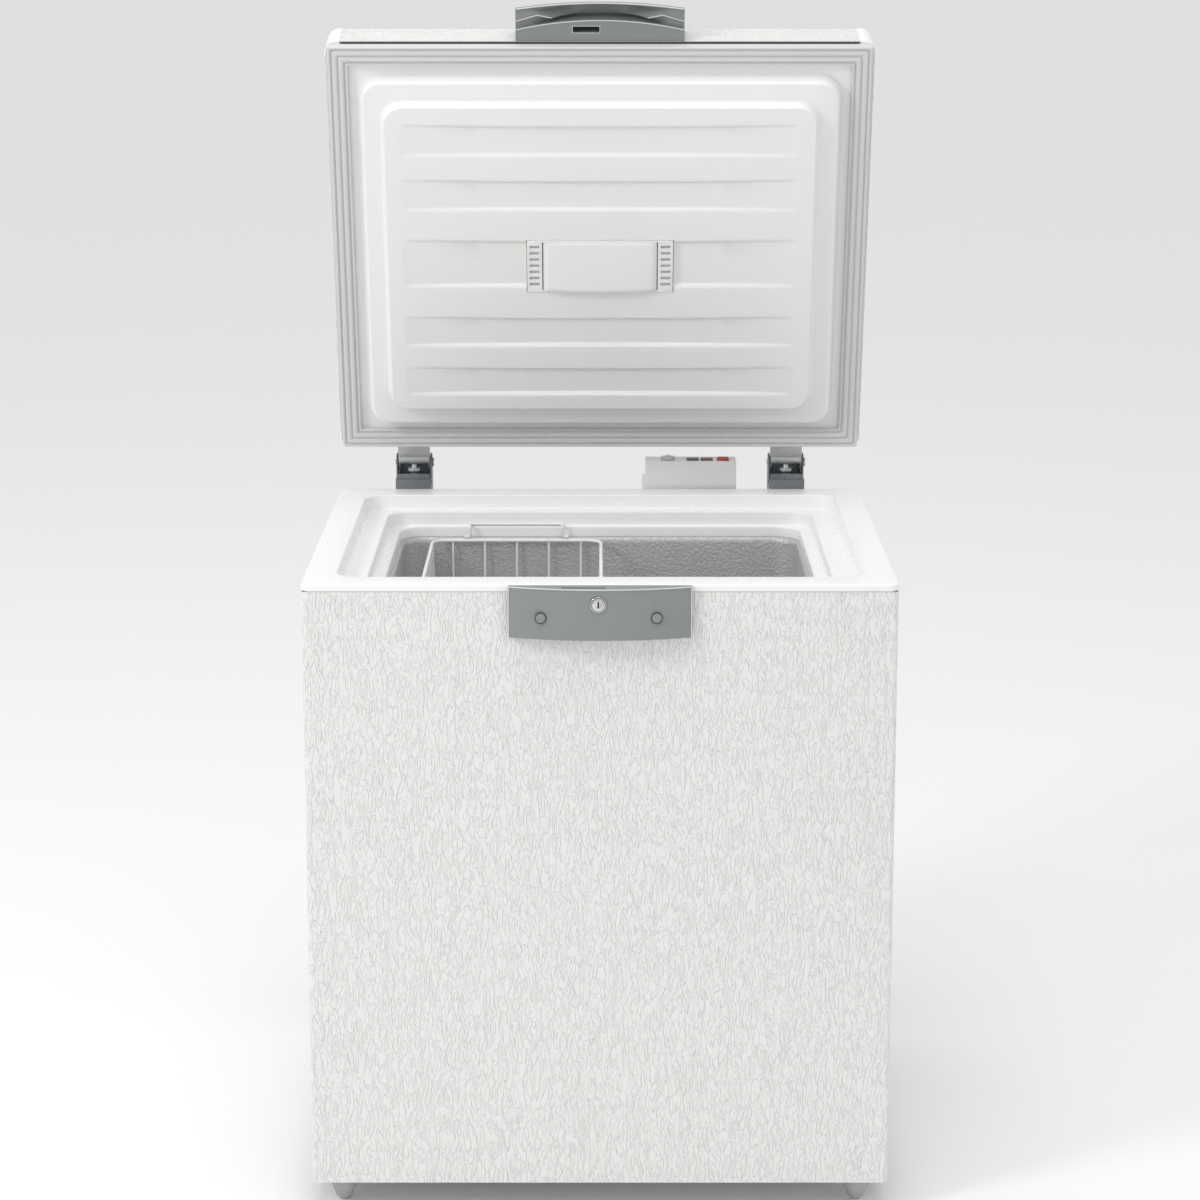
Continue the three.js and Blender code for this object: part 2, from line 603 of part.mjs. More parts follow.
function pressedBands(grow, z0, z1) {
  const half = BAND.half + grow;
  return BANDS.map(([front, back]) => box(-half, front - grow, z0, half, back + grow, z1))
    .reduce((all, band) => all.add(band));
}

function lidLiner() {
  const wall = 2;
  const bandTop = PLATEAU_2.floor + BAND.depth;
  const pocket = stepBlock(PLATEAU_2, -wall, PLATEAU_2.floor + wall, PLATEAU_1.floor + wall + 1)
    .subtract(pressedBands(wall, 0, bandTop + wall));
  const flange = prism(roundedRectangle(-358, 7, 358, DEPTH - 7, 12), LINER_PLANE, LINER_PLANE + 1.8)
    .subtract(cornerCuts(CAP_SIZE + GAP, 0, 1000));
  return flange
    .add(stepBlock(PLATEAU_1, 0, PLATEAU_1.floor, LINER_PLANE + 1))
    .add(stepBlock(PLATEAU_2, 0, PLATEAU_2.floor, PLATEAU_1.floor + 1))
    .subtract(stepBlock(PLATEAU_1, -wall, PLATEAU_1.floor + wall, LINER_PLANE + 5))
    .subtract(pocket)
    .subtract(pressedBands(0, 0, bandTop))
    .subtract(box(-LAMP.half - GAP, LAMP.front - GAP, 700, LAMP.half + GAP, LAMP.back + GAP, 900));
}

function lidFoam() {
  const half = WIDTH / 2 - 1 - SHEET - GAP;
  const inset = 2.3;
  return box(-half, 2 + SHEET, LINER_PLANE + 2.1, half, DEPTH - 2 - SHEET, LID_TOP - 0.5 - SHEET - GAP)
    .subtract(cornerCuts(CAP_SIZE + GAP, 0, 1000))
    .add(stepBlock(PLATEAU_1, -inset, PLATEAU_1.floor + inset, LINER_PLANE + 4))
    .add(stepBlock(PLATEAU_2, -inset, PLATEAU_2.floor + BAND.depth + 5, PLATEAU_1.floor + inset + 1))
    .subtract(box(-LAMP.half - 1, LAMP.front - 1, 700, LAMP.half + 1, LAMP.back + 1, RIM_TOP + 8));
}

function lidGasket() {
  const outer = prism(roundedRectangle(-361, 4, 361, DEPTH - 4, 10), LID_BOTTOM, LINER_PLANE - GAP);
  return outer.subtract(prism(roundedRectangle(-333, 32, 333, DEPTH - 32, 18), 0, 1000))
    .subtract(cornerCuts(CAP_SIZE - 14, 0, 1000));
}

// The corner caps are drawn for the front left corner and mirrored by their signs.
function lidCap(sx, front) {
  const x = (sx * WIDTH) / 2;
  const y = front ? 0 : DEPTH;
  const inward = front ? 1 : -1;
  const size = CAP_SIZE - GAP;
  const x0 = Math.min(x, x - sx * size);
  const y0 = Math.min(y, y + inward * size);
  const square = box(x0, y0, LINER_PLANE + GAP, x0 + size, y0 + size, LID_TOP);
  const round = rod('z', [x - sx * 18, y + inward * 18], 0, 1000, 18, 40);
  const corner = box(Math.min(x, x - sx * 18), Math.min(y, y + inward * 18), 0,
    Math.max(x, x - sx * 18), Math.max(y, y + inward * 18), 1000);
  return square.subtract(corner.subtract(round));
}

const HANDLE = { half: 111.5, bottom: LINER_PLANE + 1, top: LID_TOP - 13, ends: -44, middle: -52, wall: 3 };
const FLANGE = { ends: -15, middle: -28 };
const GRIP_TOP = HANDLE.top - 8;

function lidHandle() {
  const back = 1 - GAP;
  const block = prism(bowedOutline(HANDLE.half, back, HANDLE.ends, HANDLE.middle),
    HANDLE.bottom, HANDLE.top, 14);
  const half = HANDLE.half - 10;
  const grip = prism(bowedOutline(half, 20, HANDLE.ends + HANDLE.wall, HANDLE.middle + HANDLE.wall),
    0, GRIP_TOP, 14)
    .subtract(prism(bowedOutline(half + 1, 30, FLANGE.ends, FLANGE.middle), -5, GRIP_TOP + 5, 14));
  const slot = box(LOCK.x - 34, CAM_FRONT - 3, 0, LOCK.x + 1.5, CAM_BACK + 3, RIM_TOP + 30);
  return block.subtract(grip).subtract(slot);
}

function lampHousing() {
  const h = LAMP.half - 0.5;
  const middle = (LAMP.front + LAMP.back) / 2;
  let solid = box(-h, LAMP.front + 0.5, PLATEAU_2.floor - 3, h, LAMP.back - 0.5, RIM_TOP + 6)
    .subtract(box(-78, LAMP.front + 3, 700, 78, LAMP.back - 3, RIM_TOP + 3))
    .add(rod('x', [middle, RIM_TOP - 11], -45, -13, 11, 16))
    .add(box(-45, middle - 6, RIM_TOP - 11, -13, middle + 6, RIM_TOP + 4));
  for (const sx of [-1, 1]) {
    for (let i = 0; i < 7; i += 1) {
      const y = LAMP.front + 8 + i * 9;
      solid = solid.subtract(box(sx > 0 ? 82 : -95, y, 700, sx > 0 ? 95 : -82, y + 4, PLATEAU_2.floor + 4));
    }
  }
  return solid;
}

// A shallow cover whose middle bulges down into the cabinet.
function lampLens() {
  const z = PLATEAU_2.floor - 3;
  const outside = box(-77, LAMP.front + 3.4, z - 3, 77, LAMP.back - 3.4, z + 8);
  return outside.subtract(box(-75, LAMP.front + 5.4, z - 1, 75, LAMP.back - 5.4, z + 20));
}

function lampBulb() {
  const geometry = new THREE.SphereGeometry(13, 16, 10);
  geometry.scale(1.5, 1, 1);
  geometry.translate(8, (LAMP.front + LAMP.back) / 2, RIM_TOP - 11);
  return solidOf(geometry);
}

add(lid, 'lid_skin', lidSkin(), 'skin');
add(lid, 'lid_foam', lidFoam(), 'foam');
add(lid, 'lid_liner', lidLiner(), 'moulding');
add(lid, 'lid_gasket', lidGasket(), 'gasket');
for (const [name, [sx, front]] of Object.entries({
  front_left: [-1, true], front_right: [1, true], rear_left: [-1, false], rear_right: [1, false],
})) {
  add(lid, `lid_cap_${name}`, lidCap(sx, front), 'moulding');
}
add(lid, 'lid_handle', lidHandle(), 'lock_grey');
add(lid, 'lamp_housing', lampHousing(), 'moulding');
add(lid, 'lamp_lens', lampLens(), 'lens');
add(lid, 'lamp_bulb', lampBulb(), 'bulb');

// ---------------------------------------------------------------- hinges
const CHEEK = { inner: 23, outer: 25, back: PIVOT_Y + 19 };
const PIN_RADIUS = 4;
const GUIDE_HOLE = 10.5;
const HEEL = { reach: 10, radius: 7, closedDegrees: 217.5 };
const PLUNGER = { y: PIVOT_Y - 9, top: PIVOT_Z + HEEL.reach * Math.sin(THREE.MathUtils.degToRad(
  HEEL.closedDegrees - LID_OPEN_DEGREES)) - HEEL.radius - 0.5 };
const COLLAR_BOTTOM = PLUNGER.top - 9.6;
const SPRING = { bottom: 705, top: COLLAR_BOTTOM - GAP, radius: 7, wire: 1.3, turns: 9 };

// Two cheeks, a front plate, a guide plate for the push rod and a solid foot under the spring.
function hingeBracket(x) {
  const bottom = 698;
  const guideTop = PIVOT_Z - 19;
  let solid = box(x - CHEEK.outer, DEPTH + GAP, bottom, x + CHEEK.outer, DEPTH + 2.3, guideTop);
  const guide = box(x - CHEEK.outer, DEPTH + GAP, guideTop - 2, x + CHEEK.outer, CHEEK.back, guideTop)
    .subtract(rod('z', [x, PLUNGER.y], 0, 1000, GUIDE_HOLE, 24));
  solid = solid.add(guide);
  for (const side of [-1, 1]) {
    const x0 = Math.min(x + side * CHEEK.inner, x + side * CHEEK.outer);
    const cheek = box(x0, DEPTH + GAP + 2, bottom, x0 + 2, CHEEK.back, PIVOT_Z)
      .add(rod('x', [PIVOT_Y, PIVOT_Z], x0, x0 + 2, 13, 24))
      .subtract(box(x0 - 1, DEPTH - 5, RIM_TOP + 4, x0 + 3, PIVOT_Y - 13, 1000));
    solid = solid.add(cheek);
  }
  solid = solid.add(box(x - CHEEK.outer, CHEEK.back - 2, bottom, x + CHEEK.outer, CHEEK.back, PIVOT_Z - 22));
  solid = solid.add(box(x - CHEEK.outer, DEPTH + GAP, bottom,
    x + CHEEK.outer, CHEEK.back, SPRING.bottom - GAP));
  return solid.subtract(rod('x', [PIVOT_Y, PIVOT_Z], x - 40, x + 40, PIN_RADIUS + GAP, 24));
}

function hingeLeaf(x) {
  const face = DEPTH - 1 + GAP;
  const half = 22;
  let solid = box(x - half, face, PIVOT_Z - 18, x + half, face + 2, LID_TOP - 6);
  solid = solid.add(box(x - half, face, PIVOT_Z - 10, x + half, PIVOT_Y - 14, PIVOT_Z - 8));
  for (const side of [-1, 1]) {
    const x0 = Math.min(x + side * (half - 2), x + side * half);
    solid = solid.add(box(x0, face, PIVOT_Z - 10, x0 + 2, PIVOT_Y, PIVOT_Z + 10))
      .add(rod('x', [PIVOT_Y, PIVOT_Z], x0, x0 + 2, 10, 24));
  }
  const angle = THREE.MathUtils.degToRad(HEEL.closedDegrees);
  const heel = [PIVOT_Y + HEEL.reach * Math.cos(angle), PIVOT_Z + HEEL.reach * Math.sin(angle)];
  solid = solid.add(rod('x', heel, x - half + 1, x + half - 1, HEEL.radius, 28));
  return solid.subtract(rod('x', [PIVOT_Y, PIVOT_Z], x - 40, x + 40, PIN_RADIUS + GAP, 24));
}

function hingePin(x) {
  return rod('x', [PIVOT_Y, PIVOT_Z], x - CHEEK.outer - 2, x + CHEEK.outer + 2, PIN_RADIUS, 20)
    .add(rod('x', [PIVOT_Y, PIVOT_Z], x + CHEEK.outer + GAP, x + CHEEK.outer + 3, PIN_RADIUS + 2.5, 20));
}

function plunger(x) {
  return rod('z', [x, PLUNGER.y], SPRING.bottom + 45, PLUNGER.top, 4, 14)
    .add(rod('z', [x, PLUNGER.y], COLLAR_BOTTOM, COLLAR_BOTTOM + 4, 9, 18));
}

function spring(x) {
  const points = [];
  const perTurn = 6;
  const start = SPRING.bottom + SPRING.wire;
  const rise = SPRING.top - SPRING.wire - start;
  const count = SPRING.turns * perTurn;
  for (let i = 0; i <= count; i += 1) {
    const angle = (i / perTurn) * 2 * Math.PI;
    const across = SPRING.radius * Math.cos(angle);
    const deep = SPRING.radius * Math.sin(angle);
    points.push(V(x + across, PLUNGER.y + deep, start + (rise * i) / count));
  }
  return pipe(points, SPRING.wire, 4);
}

for (const [name, x] of Object.entries({ left: -HINGE_X, right: HINGE_X })) {
  add(body, `hinge_bracket_${name}`, hingeBracket(x), 'zinc');
  add(body, `hinge_pin_${name}`, hingePin(x), 'chrome');
  add(body, `hinge_plunger_${name}`, plunger(x), 'zinc');
  add(body, `hinge_spring_${name}`, spring(x), 'zinc');
  add(lid, `hinge_leaf_${name}`, hingeLeaf(x), 'zinc');
}

// The origin is on the floor, under the middle of the whole object with its lid open.
freezer.updateMatrixWorld(true);
const extent = new THREE.Box3().setFromObject(freezer, true);
body.position.y = -(extent.min.y + extent.max.y) / 2;
body.position.x = -(extent.min.x + extent.max.x) / 2;
freezer.updateMatrixWorld(true);

export default freezer;
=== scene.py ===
import json
import math

import bmesh
import bpy
import numpy as np
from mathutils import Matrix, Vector

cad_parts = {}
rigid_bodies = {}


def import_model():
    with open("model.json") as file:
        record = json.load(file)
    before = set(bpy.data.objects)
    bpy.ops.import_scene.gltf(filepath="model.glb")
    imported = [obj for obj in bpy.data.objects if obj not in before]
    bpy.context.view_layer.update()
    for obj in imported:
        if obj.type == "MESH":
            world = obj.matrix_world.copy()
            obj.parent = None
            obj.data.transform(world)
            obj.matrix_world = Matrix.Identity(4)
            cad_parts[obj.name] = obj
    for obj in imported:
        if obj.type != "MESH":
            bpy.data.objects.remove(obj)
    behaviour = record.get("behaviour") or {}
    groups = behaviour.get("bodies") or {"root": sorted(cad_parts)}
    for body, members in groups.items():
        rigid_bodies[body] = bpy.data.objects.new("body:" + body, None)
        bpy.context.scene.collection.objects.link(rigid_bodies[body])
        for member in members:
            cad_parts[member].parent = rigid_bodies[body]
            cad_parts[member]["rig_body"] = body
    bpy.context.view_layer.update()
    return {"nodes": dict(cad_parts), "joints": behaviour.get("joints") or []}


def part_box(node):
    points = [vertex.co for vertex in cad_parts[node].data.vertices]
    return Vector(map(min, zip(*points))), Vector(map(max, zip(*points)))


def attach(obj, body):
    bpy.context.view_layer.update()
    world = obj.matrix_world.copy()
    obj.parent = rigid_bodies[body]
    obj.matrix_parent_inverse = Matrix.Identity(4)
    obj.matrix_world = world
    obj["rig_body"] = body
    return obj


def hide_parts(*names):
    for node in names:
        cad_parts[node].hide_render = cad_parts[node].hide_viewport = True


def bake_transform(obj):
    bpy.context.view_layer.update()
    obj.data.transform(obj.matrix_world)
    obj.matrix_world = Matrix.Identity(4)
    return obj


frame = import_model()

bl_info = {
    "name": "Chest freezer builder",
    "version": (1, 0, 0),
    "blender": (4, 5, 0),
    "location": "View3D > Sidebar > Freezer",
    "description": "Builds the skins, mouldings, wires and finishes of a chest freezer round its CAD frame",
    "category": "Add Mesh",
}

# ------------------------------------------------------------------ places, all from the frame
# Shapes below are written in millimetres with x = 0 on the centre line, y = 0 on the front of the rim
# and z = 0 on the floor, and the lid's shapes as if the lid were closed.
MM = 0.001
RIM_LOW, RIM_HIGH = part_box("rim_frame")
CENTRE_X = (RIM_LOW.x + RIM_HIGH.x) / 2
HALF = (RIM_HIGH.x - RIM_LOW.x) / 2 / MM
DEPTH = (RIM_HIGH.y - RIM_LOW.y) / MM
RIM_TOP = RIM_HIGH.z / MM
LID_JOINT = next(j for j in frame["joints"] if j["name"] == "lid_hinge")
OPEN_ANGLE = math.radians(-LID_JOINT["range_deg"][0])
PIVOT_Y = (LID_JOINT["pos_m"][1] - RIM_LOW.y) / MM
PIVOT_Z = LID_JOINT["pos_m"][2] / MM
SHEET = 0.8
SKIN_HALF = HALF - 1
LINER_Z = RIM_TOP + 12
LID_TOP = RIM_TOP + 70
ORIGIN = np.array([CENTRE_X, RIM_LOW.y, 0.0])


def place(points):
    """Moves millimetre points into the frame: x from the centre line, y from the front of the rim, in
    metres."""
    return np.asarray(points, float) * MM + ORIGIN


def node_box(node):
    """The low and high corners of a CAD node's box, in this file's millimetres."""
    return (np.array([list(corner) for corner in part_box(node)], float) - ORIGIN) / MM


def nodes_named(start):
    """The CAD nodes whose names begin with the given word."""
    return [name for name in frame["nodes"] if name.startswith(start)]


def level(half, inset, radius, z):
    """A row for rings: a rounded rectangle about the centre line, equally far in from the front and the
    back."""
    return [-half, half, inset, DEPTH - inset, radius, z]


def on_open_lid(points):
    """Turns points of the closed lid back about the hinge line by the open angle, then places them."""
    points = np.asarray(points, float)
    y = points[..., 1] - PIVOT_Y
    z = points[..., 2] - PIVOT_Z
    cos, sin = math.cos(OPEN_ANGLE), math.sin(OPEN_ANGLE)
    opened = np.stack([points[..., 0], PIVOT_Y + y * cos + z * sin, PIVOT_Z - y * sin + z * cos], -1)
    return place(opened)


# ------------------------------------------------------------------ surfaces as whole arrays
def soften(path, radius, steps=4, closed=False, measure=None):
    """Rounds the corners of a path of rows. Each corner becomes a quadratic curve that starts and ends
    the radius away along its two legs, or 45 per cent of a leg where that is shorter. Lengths are
    measured in the given columns."""
    path = np.asarray(path, float)
    columns = list(range(path.shape[1])) if measure is None else list(measure)
    before = np.roll(path, 1, 0)
    after = np.roll(path, -1, 0)

    def towards(other):
        leg = np.linalg.norm((other - path)[:, columns], axis=1)
        share = np.minimum(radius / np.maximum(leg, 1e-9), 0.45)
        return path + (other - path) * share[:, None]

    start, end = towards(before), towards(after)
    t = np.linspace(0, 1, steps + 1)[None, :, None]
    curve = (1 - t) ** 2 * start[:, None] + 2 * t * (1 - t) * path[:, None] + t ** 2 * end[:, None]
    if closed:
        return curve.reshape(-1, path.shape[1])
    inner = curve[1:-1].reshape(-1, path.shape[1])
    return np.concatenate([path[:1], inner, path[-1:]])


def rings(rows, arc=8, across=(), along=()):
    """Rounded rectangles, one for each row (left, right, front, back, corner radius, z). Each is four
    quarter circles about the corner centres joined by straight sides, whose extra points lie at the
    given shares."""
    rows = np.asarray(rows, float)
    left, right, front, back, radius, z = rows.T
    corners = [(left, front, 1, 1, 180, across), (right, front, -1, 1, 270, along),
               (right, back, -1, -1, 0, across), (left, back, 1, -1, 90, along)]
    arcs = []
    for x, y, sx, sy, start, _ in corners:
        angle = np.radians(start + np.linspace(0, 90, arc + 1))
        px = (x + sx * radius)[:, None] + radius[:, None] * np.cos(angle)
        py = (y + sy * radius)[:, None] + radius[:, None] * np.sin(angle)
        arcs.append(np.stack([px, py], -1))
    parts = []
    for i, corner in enumerate(corners):
        shares = np.asarray(corner[5], float)
        if i >= 2:
            shares = 1 - shares[::-1]
        start = arcs[i][:, -1:]
        end = arcs[(i + 1) % 4][:, :1]
        parts += [arcs[i], start + (end - start) * shares[None, :, None]]
    flat = np.concatenate(parts, 1)
    height = np.broadcast_to(z[:, None, None], flat.shape[:2] + (1,))
    return np.concatenate([flat, height], -1)


def grid_faces(rows, columns, wrap_rows=False, wrap_columns=False):
    """Quads between neighbours of a grid of points, round the ends where a direction wraps."""
    r = np.arange(rows if wrap_rows else rows - 1)
    c = np.arange(columns if wrap_columns else columns - 1)
    r, c = np.meshgrid(r, c, indexing="ij")
    r2, c2 = (r + 1) % rows, (c + 1) % columns
    quads = np.stack([r * columns + c, r * columns + c2, r2 * columns + c2, r2 * columns + c], -1)
    return quads.reshape(-1, 4).tolist()


def surface(points, wrap_rows=False, wrap_columns=False, cap_start=False, cap_end=False):
    """A mesh from a grid of points, with a flat face over the first or last row where it is asked
    for."""
    rows, columns = points.shape[:2]
    faces = grid_faces(rows, columns, wrap_rows, wrap_columns)
    if cap_start:
        faces.append(list(range(columns))[::-1])
    if cap_end:
        faces.append([(rows - 1) * columns + i for i in range(columns)])
    return points.reshape(-1, 3), faces


def loft(rows, arc=8, closed=False, caps=(True, True)):
    """A skin over rounded rectangles stacked in the order of their rows."""
    return surface(rings(rows, arc), closed, True, caps[0] and not closed, caps[1] and not closed)


def turned(x, y, profile):
    """A turned shape: each (radius, z) of the profile is a circle, which is a rounded square of that
    radius."""
    r, z = np.asarray(profile, float).T
    return np.stack([x - r, x + r, y - r, y + r, r, z], -1)


def tube(path, radius, reference, sides=8, closed=False):
    """A round wire. At each point the section lies across the tangent, between the cross product of
    tangent and reference direction and the one at right angles to both."""
    path = np.asarray(path, float)
    if closed:
        tangent = np.roll(path, -1, 0) - np.roll(path, 1, 0)
    else:
        tangent = np.gradient(path, axis=0)
    tangent /= np.linalg.norm(tangent, axis=1)[:, None]
    side = np.cross(tangent, np.asarray(reference, float))
    side /= np.linalg.norm(side, axis=1)[:, None]
    up = np.cross(side, tangent)
    angle = np.linspace(0, 2 * np.pi, sides, endpoint=False)[None, :, None]
    points = path[:, None] + radius * (np.cos(angle) * side[:, None] + np.sin(angle) * up[:, None])
    return surface(points, closed, True, not closed, not closed)


def joined(*shapes):
    """Several shapes as one list of points and faces."""
    points, faces, offset = [], [], 0
    for shape_points, shape_faces in shapes:
        points.append(shape_points)
        faces += [[i + offset for i in face] for face in shape_faces]
        offset += len(shape_points)
    return np.concatenate(points), faces


def block(x0, y0, z0, x1, y1, z1, radius=0.6):
    """A box with rounded upright edges."""
    return loft([[x0, x1, y0, y1, radius, z0], [x0, x1, y0, y1, radius, z1]], 3)


# ------------------------------------------------------------------ pieces
def mesh_object(name, shape, lid=False):
    """A new object whose mesh holds the placed points, turned back with the lid where it is a lid
    shape."""
    points, faces = shape
    mesh = bpy.data.meshes.new(name)
    mesh.from_pydata((on_open_lid(points) if lid else place(points)).tolist(), [], faces)
    mesh.update()
    piece = bpy.data.objects.new(name, mesh)
    bpy.context.scene.collection.objects.link(piece)
    return piece


def clean(mesh, flip=False):
    """Merges doubles, drops slivers and turns every face outwards. An open sheet may be turned the other
    way."""
    work = bmesh.new()
    work.from_mesh(mesh)
    bmesh.ops.remove_doubles(work, verts=work.verts, dist=2e-6)
    bmesh.ops.dissolve_degenerate(work, dist=1e-6, edges=work.edges)
    bmesh.ops.recalc_face_normals(work, faces=work.faces)
    if flip:
        bmesh.ops.reverse_faces(work, faces=work.faces)
    work.to_mesh(mesh)
    work.free()
    mesh.update()


def smooth_by_angle(mesh, degrees):
    """Shades every face smooth and keeps edges sharper than the angle as creases."""
    mesh.polygons.foreach_set("use_smooth", np.ones(len(mesh.polygons), bool))
    mesh.set_sharp_from_angle(angle=math.radians(degrees))


def baked(piece):
    """Replaces a piece's mesh with the result of its modifiers."""
    depsgraph = bpy.context.evaluated_depsgraph_get()
    result = bpy.data.meshes.new_from_object(piece.evaluated_get(depsgraph))
    piece.modifiers.clear()
    old = piece.data
    piece.data = result
    bpy.data.meshes.remove(old)
    result.name = piece.name


def carve(piece, shape, lid=False):
    """Cuts a closed shape out of a piece."""
    cutter = mesh_object(piece.name + "_cutter", shape, lid)
    clean(cutter.data)
    cut = piece.modifiers.new("cut", "BOOLEAN")
    cut.operation = "DIFFERENCE"
    cut.solver = "EXACT"
    cut.object = cutter
    baked(piece)
    bpy.data.objects.remove(cutter)


def finish_piece(piece, material, body, replaces=(), angle=32):
    """Gives a piece its shading and its one finish, ties it to the body it rides on and hides the CAD nodes
    it stands for."""
    smooth_by_angle(piece.data, angle)
    piece.data.materials.clear()
    piece.data.materials.append(material)
    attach(piece, body)
    if replaces:
        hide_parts(*replaces)
    return piece


def make(name, shape, material, body, replaces=(), lid=False, wall=0.0, flip=False, angle=32,
         cuts=()):
    """One new piece: its shape placed and cleaned, thickened inwards where it is a sheet, and cut where
    asked."""
    piece = mesh_object(name, shape, lid)
    clean(piece.data, flip)
    if wall:
        solid = piece.modifiers.new("wall", "SOLIDIFY")
        solid.thickness = wall * MM
        solid.offset = -1
        baked(piece)
    for cut in cuts:
        carve(piece, cut, lid)
    return finish_piece(piece, material, body, replaces, angle)


def soften_node(node, name, material, width=0.8, segments=2, angle=40):
    """A copy of a CAD node with its flat facets merged and its edges rounded to the given width in
    millimetres."""
    source = frame["nodes"][node]
    piece = bpy.data.objects.new(name, source.data.copy())
    piece.data.name = name
    bpy.context.scene.collection.objects.link(piece)
    work = bmesh.new()
    work.from_mesh(piece.data)
    bmesh.ops.remove_doubles(work, verts=work.verts, dist=1e-6)
    bmesh.ops.dissolve_limit(work, angle_limit=math.radians(1.0), verts=work.verts, edges=work.edges)
    work.to_mesh(piece.data)
    work.free()
    bevel = piece.modifiers.new("edges", "BEVEL")
    bevel.limit_method = "ANGLE"
    bevel.angle_limit = math.radians(angle)
    bevel.width = width * MM
    bevel.segments = segments
    bevel.use_clamp_overlap = True
    baked(piece)
    return finish_piece(piece, material, source["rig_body"], (node,), angle=35)


# ------------------------------------------------------------------ materials
def linear(colour):
    """An sRGB hex value as linear RGBA."""
    parts = np.array([int(colour[i:i + 2], 16) for i in (1, 3, 5)]) / 255
    parts = np.where(parts <= 0.04045, parts / 12.92, ((parts + 0.055) / 1.055) ** 2.4)
    return (*parts.tolist(), 1.0)


def add(tree, kind, settings=None, inputs=None):
    """Adds a node with its settings. Each input is a value, or the output socket that feeds it."""
    made = tree.nodes.new(kind)
    for key, value in (settings or {}).items():
        setattr(made, key, value)
    for key, value in (inputs or {}).items():
        if isinstance(value, bpy.types.NodeSocket):
            tree.links.new(value, made.inputs[key])
        else:
            made.inputs[key].default_value = value
    return made


def new_material(name, colour, roughness, metallic=0.0, ior=1.5, coat=0.0, coat_roughness=0.1):
    """A Principled material with its plain values set on the shader's own sockets."""
    material = bpy.data.materials.new(name)
    material.use_nodes = True
    material.diffuse_color = linear(colour)
    tree = material.node_tree
    shader = tree.nodes["Principled BSDF"]
    shader.inputs["Base Color"].default_value = linear(colour)
    shader.inputs["Roughness"].default_value = roughness
    shader.inputs["Metallic"].default_value = metallic
    shader.inputs["IOR"].default_value = ior
    shader.inputs["Coat Weight"].default_value = coat
    shader.inputs["Coat Roughness"].default_value = coat_roughness
    return material, tree, shader


def object_place(tree, tilt=0.0, stretch=(1, 1, 1)):
    """Object coordinates, turned about x by the tilt and stretched, as a vector output."""
    place_node = add(tree, "ShaderNodeTexCoord")
    mapping = add(tree, "ShaderNodeMapping", {"vector_type": "TEXTURE"}, {
        "Vector": place_node.outputs["Object"], "Rotation": (tilt, 0, 0), "Scale": stretch})
    return mapping.outputs["Vector"]


def tinted(tree, shader, vector, colour, spread, size_mm, detail=3.0):
    """Breaks up a colour with soft noise between two shades a little lighter and darker."""
    noise = add(tree, "ShaderNodeTexNoise", None, {
        "Vector": vector, "Scale": 1 / (size_mm * MM), "Detail": detail, "Roughness": 0.55})
    base = np.array(linear(colour)[:3])
    dark = (*(base * (1 - spread)).tolist(), 1.0)
    light = (*np.minimum(base * (1 + spread), 1.0).tolist(), 1.0)
    mix = add(tree, "ShaderNodeMix", {"data_type": "RGBA"}, {
        "Factor": noise.outputs["Fac"], 6: dark, 7: light})
    tree.links.new(mix.outputs[2], shader.inputs["Base Color"])
    return noise


def rough_range(tree, shader, factor, low, high):
    """Lets roughness follow a factor between two values."""
    ranged = add(tree, "ShaderNodeMapRange", None, {"Value": factor, "To Min": low, "To Max": high})
    tree.links.new(ranged.outputs["Result"], shader.inputs["Roughness"])


def bumped(tree, shader, height, depth_mm, strength=1.0):
    """Feeds a height from 0 to 1 to the shader's normal, as a relief of the given depth."""
    bump = add(tree, "ShaderNodeBump", None, {
        "Height": height, "Distance": depth_mm * MM, "Strength": strength})
    tree.links.new(bump.outputs["Normal"], shader.inputs["Normal"])


